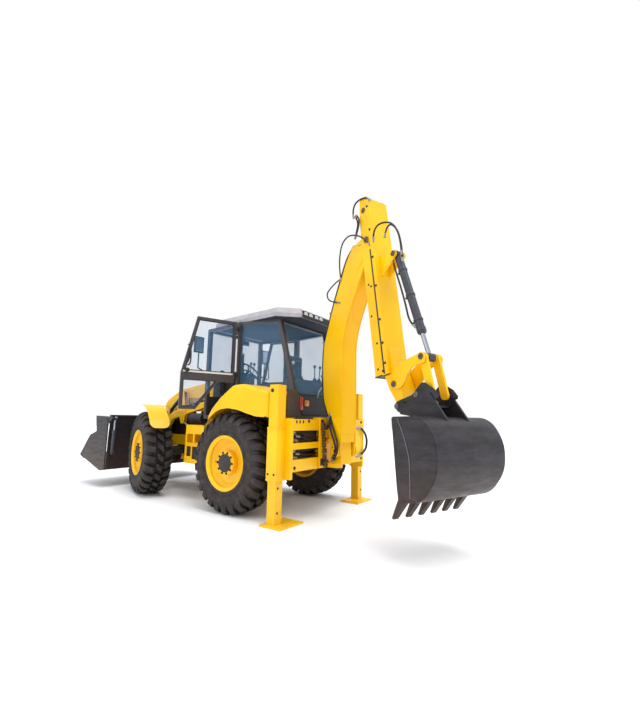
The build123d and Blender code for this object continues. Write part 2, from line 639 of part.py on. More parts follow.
# ---- loader -------------------------------------------------------------------------
arm_outline = [
    (1080, 1620), (1108, 1520), (2180, 1265), (2885, 410), (2990, 430), (2985, 530), (2270, 1345),
    (2150, 1420),
]
lug_thickness = 9
ram_y = (arm_inner + arm_outer) / 2
lug_sides = ((arm_inner, arm_inner + lug_thickness), (arm_outer - lug_thickness, arm_outer))
arm = side_plate(arm_outline, (arm_inner, arm_outer))
for y in lug_sides:
    arm = arm + side_plate([(1800, 1360), (1840, 1190), (1920, 1190), (1980, 1320)], y)
for y in ((ram_y - 46, ram_y - 37), (ram_y + 37, ram_y + 46)):
    arm = arm + side_plate([(1790, 1420), (1860, 1780), (1940, 1780), (2050, 1400)], y)
arm = arm + block((1800, 2040), (ram_y - 46, ram_y + 46), (1400, 1440))
arm = arm + cross_bar(tilt_base, (ram_y - 46, ram_y + 46), ram_pin)
arm = arm - cross_bar(loader_pivot, (arm_inner - 1, arm_outer + 1), loader_pin + running_gap)
arm = arm - cross_bar(bucket_pivot, (arm_inner - 1, arm_outer + 1), bucket_pin + running_gap)
arms = both_sides(arm)
parts["loader_arms"] = [arms[0] + arms[1] + rod((2690, -arm_inner, 780), (2690, arm_inner, 780), 60)]

ram_width = arm_outer - arm_inner - 2 * lug_thickness - 10
lift = ram(lift_base, lift_eye, 930, 30, 19, ram_y, ram_width, ram_pin)
tilt = ram(tilt_base, bucket_upper_pin, 1100, 33, 20, ram_y, ram_width, ram_pin)
parts["lift_barrels"] = both_sides(lift[0])
parts["lift_rods"] = both_sides(lift[1])
parts["tilt_barrels"] = both_sides(tilt[0])
parts["tilt_rods"] = both_sides(tilt[1])

back_half = bucket_half_width - 26
clam_side = (bucket_half_width - 20, bucket_half_width)
back = strip([(3000, 1290), (3030, 900), (3030, 345)], -20, (-back_half, back_half))
back = back + block((2985, 3045), (-back_half, back_half), (1285, 1320))
clam_ram_y = back_half - 45
for side in (1, -1):
    for low, high in ((arm_inner - 24, arm_inner - 6), (arm_outer + 6, arm_outer + 24)):
        y = sorted((side * low, side * high))
        lug = [(3035, 360), (2960, 400), (2915, 450), (2915, 520), (2900, 900), (2925, 940), (3035, 960)]
        back = back + side_plate(lug, y)
    y_pin = sorted((side * (arm_inner - 30), side * (arm_outer + 30)))
    back = back + cross_bar(bucket_pivot, y_pin, bucket_pin)
    y = sorted((side * (clam_ram_y - 46), side * (clam_ram_y - 34)))
    back = back + side_plate([(3035, 580), (2925, 610), (2925, 670), (3035, 720)], y)
    y_pin = sorted((side * (clam_ram_y - 34), side * (clam_ram_y + 24)))
    back = back + cross_bar(clam_base, y_pin, ram_pin)
    y = sorted((side * (back_half - 12), side * back_half))
    back = back + side_plate([(3010, 1290), (3010, 1150), (3105, 1190), (3105, 1250), (3060, 1290)], y)
    y_pin = sorted((side * (back_half - 12), side * (bucket_half_width + 8)))
    back = back + cross_bar(clam_pivot, y_pin, clam_pin)
parts["loader_bucket"] = [back]

floor_rear = 3057
clam = strip([(floor_rear, 334), (3210, 300), (4030, 540)], -18, (-clam_side[1], clam_side[1]))
clam_outline = [
    (floor_rear, 334), (3210, 300), (4030, 540), (3690, 930), (3450, 1010), (3510, 1300), (3040, 1290),
    (2925, 1290), (2895, 1255), (2925, 1222), (3050, 1170),
]
for side in (1, -1):
    y = sorted((side * clam_side[0], side * clam_side[1]))
    clam = clam + side_plate(clam_outline, y)
    y = sorted((side * (clam_ram_y + 22), side * clam_side[0]))
    clam = clam + cross_bar(clam_eye, y, ram_pin)
clam = clam - cross_bar(clam_pivot, (-1300, 1300), clam_pin + running_gap)
parts["bucket_clam"] = [clam]
clam_ram = ram(clam_base, clam_eye, 400, 30, 18, clam_ram_y, 34, ram_pin)
parts["clam_barrels"] = both_sides(clam_ram[0])
parts["clam_rods"] = both_sides(clam_ram[1])

# ---- backhoe ------------------------------------------------------------------------
backhoe = Location((kingpin_x, carriage_y, 0), (0, 0, 180 - swing))
carriage_x = kingpin_x + carriage_reach
hook_y = (carriage_y - carriage_half_width, carriage_y + carriage_half_width)
hook_top = top_rail_z[1] + 25
carriage = block((carriage_x, frame_rear_x - side_gap), hook_y, (low_rail_z[0] + 5, top_rail_z[1] - 5))
carriage = carriage + block((carriage_x, frame_rear_x + 90), hook_y, (top_rail_z[1] + slide_play, hook_top))
carriage = carriage + block((carriage_x, frame_rear_x - side_gap), hook_y, (top_rail_z[1] - 10, hook_top))
carriage = carriage + block((frame_rear_x + 65, frame_rear_x + 90), hook_y, (top_rail_z[1] - 30, hook_top))
for z in (lower_lug_z, upper_lug_z):
    lug = block((kingpin_x, carriage_x), (carriage_y - lug_half, carriage_y + lug_half), z)
    lug = lug + Pos(kingpin_x, carriage_y, (z[0] + z[1]) / 2) * Cylinder(lug_half, z[1] - z[0])
    carriage = carriage + lug
carriage = carriage - Pos(kingpin_x, carriage_y, 900) * Cylinder(kingpin_radius + running_gap, 1000)
parts["carriage"] = [carriage]

post_half = 86
post_ear = [(-120, 1090), (-30, 1090), (-30, 1185), (-50, 1210), (-100, 1210), (-120, 1185)]
post = block((-60, 85), (-post_half, post_half), (lower_lug_z[1] + 5, upper_lug_z[0] - 5))
post = post + block((85, 200), (-post_half, post_half), (lower_lug_z[1] + 5, 1100))
post = post + block((-115, 200), (-post_half, post_half), (upper_lug_z[1] + 6, 1100))
for side in (1, -1):
    y = sorted((side * 66, side * post_half))
    post = post + side_plate(post_ear, y)
post = post - side_plate([(-75, 1097), (201, 1038), (201, 1101), (-75, 1101)], (-64, 64))
post = post + cross_bar(boom_ram_base, (-post_half, post_half), hoe_pin_radius)
post = post + cross_bar(boom_foot, (-boom_half - 15, boom_half + 15), foot_pin_radius)
post = post + rod((0, 0, lower_lug_z[0] - 5), (0, 0, upper_lug_z[1] + 20), kingpin_radius)
parts["swing_post"] = [backhoe * post]

boom_rear_edge = [(255, 2390, 900), (355, 2680, 900), (485, 2930, 900), (695, 3290, 900), (875, 3565)]
boom_outline = [
    (86, 955), (100, 1062), (-40, 1200), (-40, 1335, 60), (-185, 1600, 400), (-225, 2040, 900),
    (-205, 2410, 500), (-85, 2690, 900), (35, 2970, 900), (175, 3230, 900), (330, 3530, 900),
    (472, 3690, 60), (620, 3720),
    (740, 3746), (895, 3640),
]
boom_outline = boom_outline + boom_rear_edge[::-1] + [(255, 1060, 80), (232, 940)]
inner = boom_half - boom_plate
ram_space = 52                  # half width left between bosses for a cylinder
boom_plates = []
for y in ((-boom_half, -inner), (inner, boom_half)):
    plate = side_plate(boom_outline, y)
    plate = plate + cross_bar(boom_foot, y, 88) + cross_bar(boom_tip, y, 100)
    boom_plates.append(plate - cross_bar(boom_foot, (-400, 400), foot_pin_radius + running_gap))
boom = fused(boom_plates)
boom = boom + strip([(255, 1140)] + boom_rear_edge, -boom_plate, (-inner, inner))
boom = boom + strip([(-205, 2410), (-150, 2535)], boom_plate, (-inner, inner))
boom = boom + cross_bar(boom_tip, (-dipper_half - 16, dipper_half + 16), tip_pin_radius)
for side in (1, -1):
    for point in (boom_ram_eye, dipper_ram_base):
        boom = boom + cross_bar(point, sorted((side * ram_space, side * inner)), boss_radius)
boom = boom + cross_bar(dipper_ram_base, (-inner, inner), hoe_pin_radius)
parts["boom"] = [backhoe * boom]
boom_ram = ram(boom_ram_base, boom_ram_eye, 960, 58, 30, 0, 90, hoe_pin_radius)
parts["boom_barrel"] = [backhoe * boom_ram[0]]
parts["boom_rod"] = [backhoe * boom_ram[1]]
dipper_ram = ram(dipper_ram_base, dipper_ram_eye, 940, 56, 30, 0, 90, hoe_pin_radius)
parts["dipper_barrel"] = [backhoe * dipper_ram[0]]
parts["dipper_rod"] = [backhoe * dipper_ram[1]]

# The dipper is drawn with +X away from the boom's tip pin along its length and +Z towards
# its front, so heights across it are taken negative; along() turns those into places.
lean = radians(dipper_lean)


def along(length, depth):
    """Point at a length along the dipper and a depth towards its rear, from the tip pin."""
    x = boom_tip[0] + length * sin(lean) + depth * cos(lean)
    z = boom_tip[1] - length * cos(lean) + depth * sin(lean)
    return (x, z)


def dipper_plate(points, y):
    return side_plate([along(*point) for point in points], y)


def across_dipper(length, depth, y):
    """Block between two lengths along the dipper and two depths across it."""
    (start, end), (front, behind) = length, depth
    return dipper_plate([(start, front), (start, behind), (end, behind), (end, front)], y)


dipper_length = 1830            # from the boom's tip pin to the dipper's lower end
head_outline = [
    (-640, -60), (-640, 60), (-590, 105), (dipper_length, dipper_rear), (dipper_length, dipper_front),
    (80, dipper_front), (-420, -90),
]
plate_inner = dipper_half - boom_plate
rear_plate_depth = (dipper_rear - boom_plate, dipper_rear)
dipper = across_dipper((150, dipper_length), rear_plate_depth, (-plate_inner, plate_inner))
front_plate_depth = (dipper_front, dipper_front + boom_plate)
dipper = dipper + across_dipper((540, dipper_length), front_plate_depth, (-plate_inner, plate_inner))
for side in (1, -1):
    dipper = dipper + dipper_plate(head_outline, sorted((side * plate_inner, side * dipper_half)))
    dipper = dipper + cross_bar(dipper_ram_eye, sorted((side * 50, side * dipper_half)), boss_radius)
dipper = dipper - cross_bar(boom_tip, (-400, 400), tip_pin_radius + running_gap)
parts["dipper"] = [backhoe * dipper]

slide_gap = 7
back_low = dipper_rear + slide_gap
back_high = back_low + boom_plate
flange_y = (dipper_half + side_gap, dipper_half + side_gap + 10)
slide_length = (-560, dipper_length)
pad_length = 150
ext = across_dipper(slide_length, (back_low, back_high), (-flange_y[1], flange_y[1]))
for side in (1, -1):
    ext = ext + across_dipper(slide_length, (68, back_low), sorted((side * flange_y[0], side * flange_y[1])))
    bracket = [(280, back_low + 10), (350, 400), (385, 410), (420, 390), (560, back_low + 10)]
    ext = ext + dipper_plate(bracket, sorted((side * 60, side * 80)))
nose = [
    (1500, back_low), (dipper_length + 6, back_low), (dipper_length + 6, 10), (2000, 60), (2280, 200),
    (2300, 250), (2270, 300), (1980, 230), (1500, back_high),
]
ext = ext + dipper_plate(nose, (-115, 115))
for side in (1, -1):
    y = sorted((side * (dipper_half + slide_play), side * flange_y[0]))
    for low in (150, 1500):
        ext = ext + across_dipper((low, low + pad_length), (74, 98), y)
ext = ext + cross_bar(idler_pivot, (-145, 145), hoe_pin_radius)
ext = ext + cross_bar(coupler_pin, (-143, 143), hoe_pin_radius)
ext = ext + cross_bar(bucket_ram_base, (-85, 85), hoe_pin_radius)
parts["dipper_extension"] = [backhoe * ext]

bucket_ram = ram(bucket_ram_base, bucket_ram_eye, 1090, 48, 26, 0, 90, hoe_pin_radius)
parts["bucket_barrel"] = [backhoe * bucket_ram[0]]
parts["bucket_rod"] = [backhoe * bucket_ram[1]]


def link_plate(start, end, y, radius, bore):
    """Round-ended link between two points, bored at its start."""
    dx, dz = end[0] - start[0], end[1] - start[1]
    length = hypot(dx, dz)
    nx, nz = -dz / length * radius, dx / length * radius
    corners = [(start[0] + nx, start[1] + nz), (end[0] + nx, end[1] + nz),
               (end[0] - nx, end[1] - nz), (start[0] - nx, start[1] - nz)]
    plate = side_plate(corners, y) + cross_bar(start, y, radius) + cross_bar(end, y, radius)
    return plate - cross_bar(start, (y[0] - 1, y[1] + 1), bore)


link_bore = hoe_pin_radius + running_gap
idlers = []
pushers = []
for side in (1, -1):
    stub = cross_bar(bucket_ram_eye, sorted((side * 50, side * 121)), hoe_pin_radius)
    y = sorted((side * 121, side * 143))
    idlers.append(link_plate(idler_pivot, bucket_ram_eye, y, 48, link_bore) + stub)
    y = sorted((side * 84, side * 114))
    pushers.append(link_plate(bucket_ram_eye, coupler_link_pin, y, 46, link_bore))
parts["idler_links"] = [backhoe * piece for piece in idlers]
parts["push_links"] = [backhoe * piece for piece in pushers]

cx, cz = coupler_pin
lx, lz = coupler_link_pin
coupler_y = (121, 145)
coupler_outline = [
    (cx - 60, cz - 20), (cx + 20, cz + 55), (cx + 200, cz + 60), (lx, lz + 60), (lx + 60, lz),
    (lx + 40, lz - 110), (cx + 120, cz - 110), (cx - 20, cz - 90),
]
coupler = fused(both_sides(side_plate(coupler_outline, coupler_y)))
tie = [(cx + 90, cz - 110), (lx + 30, lz - 130), (lx + 30, lz - 105), (cx + 90, cz - 85)]
coupler = coupler + side_plate(tie, (-coupler_y[0], coupler_y[0]))
coupler = coupler - cross_bar(coupler_pin, (-400, 400), link_bore)
parts["hoe_coupler"] = [backhoe * coupler]

shell_line = [
    (1712, 560), (2010, 595, 300), (2190, 850, 380), (2200, 1130, 380), (2040, 1380, 240), (1640, 1370),
]
shell = strip(shell_line, -shell_thickness, (-hoe_bucket_half, hoe_bucket_half))
cheek_outline = shell_line + [(1622, 1350), (1690, 700)]
ear_outline = [
    (cx - 40, cz - 60), (cx + 30, cz + 40), (cx + 90, cz + 20), (lx + 30, lz + 20), (lx + 90, lz - 60),
    (2070, 1306), (1930, 1364), (1630, 1360), (1480, 1400),
]
for side in (1, -1):
    y = sorted((side * (hoe_bucket_half - 20), side * hoe_bucket_half))
    shell = shell + side_plate(cheek_outline, y)
    y = sorted((side * 145, side * 170))
    shell = shell + side_plate(ear_outline, y)
tooth_count = 6
tooth_half = 32
tooth_outline = [(1770, 560), (1770, 585), (1700, 590), (1605, 385), (1625, 380)]
for index in range(tooth_count):
    middle = -hoe_bucket_half + 50 + index * (2 * hoe_bucket_half - 100) / (tooth_count - 1)
    shell = shell + side_plate(tooth_outline, (middle - tooth_half, middle + tooth_half))
parts["hoe_bucket"] = [backhoe * shell]

# ---- origin and export --------------------------------------------------------------
origin_x = 238                  # the part's own origin, under the middle of the whole machine
origin_y = 125
os.makedirs("parts", exist_ok=True)
for name, pieces in parts.items():
    solids = [solid for piece in pieces for solid in piece.solids()]
    node = Pos(-origin_x, -origin_y, 0) * Compound(children=solids)
    export_step(node, f"parts/{name}.step")
print(len(parts), "nodes")
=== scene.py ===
import bpy
import bmesh
import json
import math
from mathutils import Matrix, Vector


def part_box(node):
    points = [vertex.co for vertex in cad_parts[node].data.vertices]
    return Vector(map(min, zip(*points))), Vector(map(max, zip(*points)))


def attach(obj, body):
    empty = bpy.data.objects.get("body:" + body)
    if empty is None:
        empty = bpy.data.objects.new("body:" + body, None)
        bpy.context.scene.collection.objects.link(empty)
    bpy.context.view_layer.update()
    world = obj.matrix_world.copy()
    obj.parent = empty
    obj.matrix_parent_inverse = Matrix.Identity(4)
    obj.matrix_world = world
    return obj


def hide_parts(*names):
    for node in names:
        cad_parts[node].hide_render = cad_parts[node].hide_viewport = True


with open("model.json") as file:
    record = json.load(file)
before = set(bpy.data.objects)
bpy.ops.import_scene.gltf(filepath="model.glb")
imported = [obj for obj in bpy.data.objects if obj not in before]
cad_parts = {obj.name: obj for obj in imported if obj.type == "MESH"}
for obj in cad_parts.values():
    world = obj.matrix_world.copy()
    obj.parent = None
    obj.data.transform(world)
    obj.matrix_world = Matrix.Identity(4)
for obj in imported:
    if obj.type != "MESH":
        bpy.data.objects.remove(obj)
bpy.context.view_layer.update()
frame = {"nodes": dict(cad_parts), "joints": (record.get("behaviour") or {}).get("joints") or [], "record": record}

# ---- places the model gives ---------------------------------------------------------
joint = {item["name"]: item for item in frame["joints"]}


def low_high(name):
    """A node's box, as two vectors."""
    low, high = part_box(name)
    return Vector(low), Vector(high)


kingpin = Vector(joint["hoe_swing"]["pos_m"])  # where the digging arm swings
SWING = math.radians(22)                       # the digging arm at rest, to the left
# The machine's own frame stands on the ground, ahead of the swing pivot and to its right:
# X forwards, Y to the left, Z up.
machine = Vector((kingpin.x + 1.340, kingpin.y - 0.140, 0))
body_frame = Matrix.Translation(machine)
# The digging arm's own frame: X away from the machine along the arm, Y across it, Z up.
arm_frame = Matrix.Translation((kingpin.x, kingpin.y, 0)) @ Matrix.Rotation(math.pi - SWING, 4, "Z")
FACING_REAR = Matrix.Rotation(-math.pi / 2, 4, "Y")
FACING_FRONT = Matrix.Rotation(math.pi / 2, 4, "Y")
SIDES = ((1, "left"), (-1, "right"))


def mirrored(side):
    """The left side as it is for 1, or its reflection for -1."""
    return Matrix.Scale(side, 4, (0, 1, 0))


# ---- modelling tools ----------------------------------------------------------------
def clear():
    if bpy.context.object and bpy.context.object.mode != "OBJECT":
        bpy.ops.object.mode_set(mode="OBJECT")
    bpy.ops.object.select_all(action="DESELECT")


def active():
    return bpy.context.object


def chosen(piece):
    """Makes a piece the only selected one, and the active one."""
    clear()
    piece.select_set(True)
    bpy.context.view_layer.objects.active = piece


def edit():
    bpy.ops.object.mode_set(mode="EDIT")


def edit_all():
    edit()
    bpy.ops.mesh.select_all(action="SELECT")


def done():
    bpy.ops.object.mode_set(mode="OBJECT")


def select_faces(test):
    """In edit mode, selects the faces whose normal passes a test, and no others."""
    bpy.ops.mesh.select_mode(type="FACE")
    bpy.ops.mesh.select_all(action="DESELECT")
    mesh = bmesh.from_edit_mesh(active().data)
    for face in mesh.faces:
        face.select_set(bool(test(face.normal)))
    bmesh.update_edit_mesh(active().data)


def settle():
    """Applies the active object's place, so that its mesh holds it."""
    bpy.ops.object.transform_apply(location=True, rotation=True, scale=True)


def set_at(piece, centre, turn=Matrix.Identity(4)):
    """Turns a piece that was modelled round the origin, and sets it at a point."""
    piece.data.transform(Matrix.Translation(centre) @ turn)
    return piece


def cube(name, corner, opposite):
    """A cube between two corners, with its place in its mesh."""
    clear()
    low = Vector([min(pair) for pair in zip(corner, opposite)])
    high = Vector([max(pair) for pair in zip(corner, opposite)])
    bpy.ops.mesh.primitive_cube_add(size=1, location=(low + high) / 2)
    active().name = name
    active().scale = high - low
    settle()
    return active()


def drum(name, start, end, radius, sides=32):
    """A cylinder from one point to another, with its place in its mesh."""
    clear()
    start, end = Vector(start), Vector(end)
    bpy.ops.mesh.primitive_cylinder_add(vertices=sides, radius=radius, depth=(end - start).length)
    active().name = name
    turn = Vector((0, 0, 1)).rotation_difference(end - start).to_matrix().to_4x4()
    active().matrix_world = Matrix.Translation((start + end) / 2) @ turn
    settle()
    return active()


def round_edges(piece, width, segments=2, angle=30):
    """Rounds a piece's sharp edges and smooths the rest."""
    chosen(piece)
    bevel = piece.modifiers.new("edges", "BEVEL")
    bevel.width = width
    bevel.segments = segments
    bevel.limit_method = "ANGLE"
    bevel.angle_limit = math.radians(angle)
    bevel.use_clamp_overlap = True
    bpy.ops.object.modifier_apply(modifier=bevel.name)
    bpy.ops.object.shade_smooth_by_angle(angle=math.radians(35))
    return piece


def panel(name, corner, opposite, axis, side, border, move, step=False, rounding=0.002, segments=2):
    """A block whose face towards an axis is inset and then moved, with a step or as a slope."""
    piece = cube(name, corner, opposite)
    edit()
    select_faces(lambda normal: normal[axis] * side > 0.9)
    bpy.ops.mesh.inset(thickness=border)
    if step:
        bpy.ops.mesh.extrude_region_move(TRANSFORM_OT_translate={"value": move})
    else:
        bpy.ops.transform.translate(value=move)
    done()
    return round_edges(piece, rounding, segments)


def slab(name, corner, opposite, cuts, rounding=0.002, segments=1):
    """A flat block whose faces are divided, with eased edges."""
    piece = cube(name, corner, opposite)
    edit_all()
    bpy.ops.mesh.subdivide(number_cuts=cuts)
    done()
    return round_edges(piece, rounding, segments)


def tapered(name, corner, opposite, axis, side, scale, rounding):
    """A block whose face towards an axis is drawn in."""
    piece = cube(name, corner, opposite)
    edit()
    select_faces(lambda normal: normal[axis] * side > 0.9)
    bpy.ops.transform.resize(value=scale)
    done()
    return round_edges(piece, rounding, 1)


def joined(name, pieces):
    """Several pieces made one."""
    clear()
    for piece in pieces:
        piece.select_set(True)
    bpy.context.view_layer.objects.active = pieces[0]
    if len(pieces) > 1:
        bpy.ops.object.join()
    active().name = name
    return active()


def copied(piece, place=Matrix.Identity(4)):
    """A copy with its own mesh, moved by a matrix."""
    twin = piece.copy()
    twin.data = piece.data.copy()
    twin.data.transform(place)
    bpy.context.collection.objects.link(twin)
    return twin


def recalculated(piece):
    """Merges a piece's doubles and turns its faces outwards."""
    chosen(piece)
    edit_all()
    bpy.ops.mesh.remove_doubles(threshold=0.0001)
    bpy.ops.mesh.normals_make_consistent(inside=False)
    done()
    return piece


def spun(name, profile, axis="Z", steps=32, smooth=35):
    """A ring turned about an axis through the origin from a closed loop of (radius, height) points."""
    clear()
    bpy.ops.mesh.primitive_circle_add(vertices=len(profile), radius=1)
    piece = active()
    piece.name = name
    for vertex, (radius, height) in zip(piece.data.vertices, profile):
        vertex.co = (radius, height, 0) if axis == "Y" else (radius, 0, height)
    edit_all()
    turn = (0, 1, 0) if axis == "Y" else (0, 0, 1)
    bpy.ops.mesh.spin(steps=steps, angle=2 * math.pi, center=(0, 0, 0), axis=turn)
    done()
    recalculated(piece)
    bpy.ops.object.shade_smooth_by_angle(angle=math.radians(smooth))
    return piece


def tube(name, points, radius, sides=3):
    """A smooth round tube along a few points, as a mesh."""
    clear()
    bpy.ops.curve.primitive_nurbs_path_add()
    curve = active()
    curve.name = name
    curve.data.splines.clear()
    spline = curve.data.splines.new("NURBS")
    spline.points.add(len(points) - 1)
    for point, place in zip(spline.points, points):
        point.co = (*place, 1)
    spline.order_u = 3
    spline.use_endpoint_u = True
    spline.resolution_u = 6
    curve.location = (0, 0, 0)
    curve.data.bevel_depth = radius
    curve.data.bevel_resolution = sides
    curve.data.use_fill_caps = True
    bpy.ops.object.convert(target="MESH")
    active().name = name
    bpy.ops.object.shade_smooth_by_angle(angle=math.radians(50))
    return active()


def cut_plate(name, outline, low, high, rounding=0.003, corner=0.0):
    """A plate cut to an outline of (x, z) points between two y limits, with eased edges."""
    clear()
    low, high = sorted((low, high))
    bpy.ops.mesh.primitive_circle_add(vertices=len(outline), radius=1, fill_type="NGON")
    piece = active()
    piece.name = name
    for vertex, (x, z) in zip(piece.data.vertices, outline):
        vertex.co = (x, low, z)
    edit_all()
    if corner:
        bpy.ops.mesh.bevel(offset=corner, segments=5, affect="VERTICES")
        bpy.ops.mesh.select_all(action="SELECT")
    bpy.ops.mesh.extrude_region_move(TRANSFORM_OT_translate={"value": (0, high - low, 0)})
    done()
    recalculated(piece)
    return round_edges(piece, rounding, 2)


def bolt(name, centre, toward, radius=0.014, height=0.012):
    """A hexagon bolt head on its washer, standing on a face."""
    centre, toward = Vector(centre), Vector(toward).normalized()
    washer = drum(name, centre - toward * 0.002, centre + toward * 0.003, radius * 1.35, 16)
    head = drum(name, centre, centre + toward * height, radius, 6)
    return joined(name, [round_edges(head, 0.0015, 1), round_edges(washer, 0.001, 1)])


# ---- materials ----------------------------------------------------------------------
def colour(hex_value):
    """An sRGB hex colour, made linear."""
    channels = [int(hex_value[i:i + 2], 16) / 255 for i in (0, 2, 4)]
    return [c / 12.92 if c <= 0.04045 else ((c + 0.055) / 1.055) ** 2.4 for c in channels] + [1]


def add(tree, kind, settings=None, links=None):
    """Adds a node with its settings, sets or links its inputs, and returns it."""
    item = tree.nodes.new(kind)
    for key, value in (settings or {}).items():
        setattr(item, key, value)
    for key, value in (links or {}).items():
        if isinstance(value, bpy.types.NodeSocket):
            tree.links.new(value, item.inputs[key])
        else:
            item.inputs[key].default_value = value
    return item


def blank(name):
    """An empty material's tree, its shader and its object coordinates."""
    material = bpy.data.materials.new(name)
    material.use_nodes = True
    tree = material.node_tree
    tree.nodes.clear()
    shader = add(tree, "ShaderNodeBsdfPrincipled")
    add(tree, "ShaderNodeOutputMaterial", links={"Surface": shader.outputs[0]})
    place = add(tree, "ShaderNodeTexCoord").outputs["Object"]
    return material, tree, shader, place


def ramp(tree, value, stops):
    """A colour ramp with (position, colour) stops."""
    item = add(tree, "ShaderNodeValToRGB", links={"Fac": value})
    items = item.color_ramp.elements
    while len(items) < len(stops):
        items.new(1)
    for element, (position, tint) in zip(items, stops):
        element.position = position
        element.color = tint
    return item.outputs["Color"]


def noise(tree, place, millimetres, detail=3, rough=0.55):
    """A noise whose grain is about a real size."""
    return add(tree, "ShaderNodeTexNoise", links={"Vector": place, "Scale": 1000 / millimetres,
                                                  "Detail": detail, "Roughness": rough}).outputs["Fac"]


def bumped(tree, shader, height, strength, depth):
    """Feeds a height to the shader's normal."""
    bump = add(tree, "ShaderNodeBump", links={"Height": height, "Strength": strength, "Distance": depth})
    tree.links.new(bump.outputs["Normal"], shader.inputs["Normal"])


def ranged(tree, value, limits, outputs=(0.0, 1.0)):
    """A value moved from one range to another, and held inside it."""
    return add(tree, "ShaderNodeMapRange", {"clamp": True},
               {"Value": value, "From Min": limits[0], "From Max": limits[1],
                "To Min": outputs[0], "To Max": outputs[1]}).outputs[0]


def multiplied(tree, first, second):
    """The product of two values."""
    return add(tree, "ShaderNodeMath", {"operation": "MULTIPLY"}, {0: first, 1: second}).outputs[0]


def mixed_colour(tree, factor, first, second):
    """A colour between two others."""
    mix = add(tree, "ShaderNodeMix", {"data_type": "RGBA"}, {"Factor": factor, "A": first, "B": second})
    return mix.outputs["Result"]


def enamel(name, tint, shade, dirt, dirt_top):
    """Two-pack enamel sprayed on steel plate: an even gloss with faint orange peel, a slow drift
    of tone over a metre, and dry dust that lies thicker towards the ground."""
    material, tree, shader, place = blank(name)
    drift = noise(tree, place, 900, 2)
    base = ramp(tree, drift, [(0.35, colour(shade)), (0.65, colour(tint))])
    height = add(tree, "ShaderNodeSeparateXYZ", links={"Vector": place}).outputs["Z"]
    low = ranged(tree, height, (0.0, dirt_top), (0.4, 0.0))
    specks = noise(tree, place, 60, 8, 0.7)
    amount = multiplied(tree, low, ranged(tree, specks, (0.42, 0.68)))
    tree.links.new(mixed_colour(tree, amount, base, colour(dirt)), shader.inputs["Base Color"])
    worn = ranged(tree, specks, (0.3, 0.8), (0.28, 0.46))
    tree.links.new(worn, shader.inputs["Roughness"])
    shader.inputs["Specular IOR Level"].default_value = 0.3
    shader.inputs["Coat Weight"].default_value = 0.08
    shader.inputs["Coat Roughness"].default_value = 0.12
    bumped(tree, shader, noise(tree, place, 7, 2), 0.06, 0.0005)
    return material


def moulded(name, tint, shade, roughness, grain=1.6, strength=0.25):
    """Polypropylene or ABS from a textured mould: matt, with a fine leather-like grain,
    drawn a little coarser than the real one so that it shows."""
    material, tree, shader, place = blank(name)
    base = ramp(tree, noise(tree, place, 120, 4), [(0.35, colour(shade)), (0.7, colour(tint))])
    tree.links.new(base, shader.inputs["Base Color"])
    patchy = ranged(tree, noise(tree, place, 45, 5), (0.0, 1.0), (roughness - 0.08, roughness + 0.1))
    tree.links.new(patchy, shader.inputs["Roughness"])
    cells = add(tree, "ShaderNodeTexVoronoi", links={"Vector": place, "Scale": 1000 / grain})
    bumped(tree, shader, cells.outputs["Distance"], strength, 0.0004)
    return material


def tyre_rubber():
    """Natural and synthetic rubber, carbon black, moulded: matt near-black, with dry soil
    rubbed into it, and painted shade that darkens its grooves and recesses."""
    material, tree, shader, place = blank("tyre rubber with dry soil")
    soil = noise(tree, place, 80, 8, 0.7)
    base = ramp(tree, soil, [(0.38, colour("2B2726")), (0.56, colour("3B3533")), (0.74, colour("57493F"))])
    # Painted shade: ambient occlusion darkens the grooves and recesses towards near-black.
    painted_groove_shade = add(tree, "ShaderNodeAmbientOcclusion", {"samples": 6, "only_local": True}, {"Distance": 0.07})
    depth = ranged(tree, painted_groove_shade.outputs["AO"], (0.35, 0.9))
    tree.links.new(mixed_colour(tree, depth, colour("0D0B0B"), base), shader.inputs["Base Color"])
    shader.inputs["Roughness"].default_value = 0.78
    shader.inputs["Specular IOR Level"].default_value = 0.35
    bumped(tree, shader, noise(tree, place, 9, 6, 0.65), 0.35, 0.0012)
    return material


def bucket_steel():
    """Wear-resistant plate under thin black paint: satin, rubbed through to grey steel in
    streaks, with brown soil and rust low down."""
    material, tree, shader, place = blank("worn bucket plate")
    streaks = add(tree, "ShaderNodeMapping", links={"Vector": place, "Scale": (1, 1, 4)}).outputs[0]
    rubbed = noise(tree, streaks, 260, 9, 0.68)
    base = ramp(tree, rubbed, [(0.38, colour("242125")), (0.60, colour("312E34")), (0.75, colour("414048")),
                               (0.88, colour("5E5D63"))])
    height = add(tree, "ShaderNodeSeparateXYZ", links={"Vector": place}).outputs["Z"]
    low = ranged(tree, height, (0.45, 1.05), (0.75, 0.0))
    amount = multiplied(tree, low, noise(tree, place, 90, 6))
    tree.links.new(mixed_colour(tree, amount, base, colour("5A4230")), shader.inputs["Base Color"])
    shiny = ranged(tree, rubbed, (0.35, 0.75), (0.55, 0.33))
    tree.links.new(shiny, shader.inputs["Roughness"])
    shader.inputs["Metallic"].default_value = 0.35
    bumped(tree, shader, noise(tree, streaks, 35, 7, 0.7), 0.2, 0.0015)
    return material


def satin(name, tint, shade, roughness, metallic=0.0, grain=20, relief=0.08):
    """Satin paint or oiled casting: one tone broken by fine handling marks."""
    material, tree, shader, place = blank(name)
    marks = noise(tree, place, grain, 7, 0.65)
    base = ramp(tree, marks, [(0.35, colour(shade)), (0.7, colour(tint))])
    tree.links.new(base, shader.inputs["Base Color"])
    patchy = ranged(tree, marks, (0.0, 1.0), (roughness - 0.1, roughness + 0.12))
    tree.links.new(patchy, shader.inputs["Roughness"])
    shader.inputs["Metallic"].default_value = metallic
    if relief:
        bumped(tree, shader, marks, relief, 0.0006)
    return material


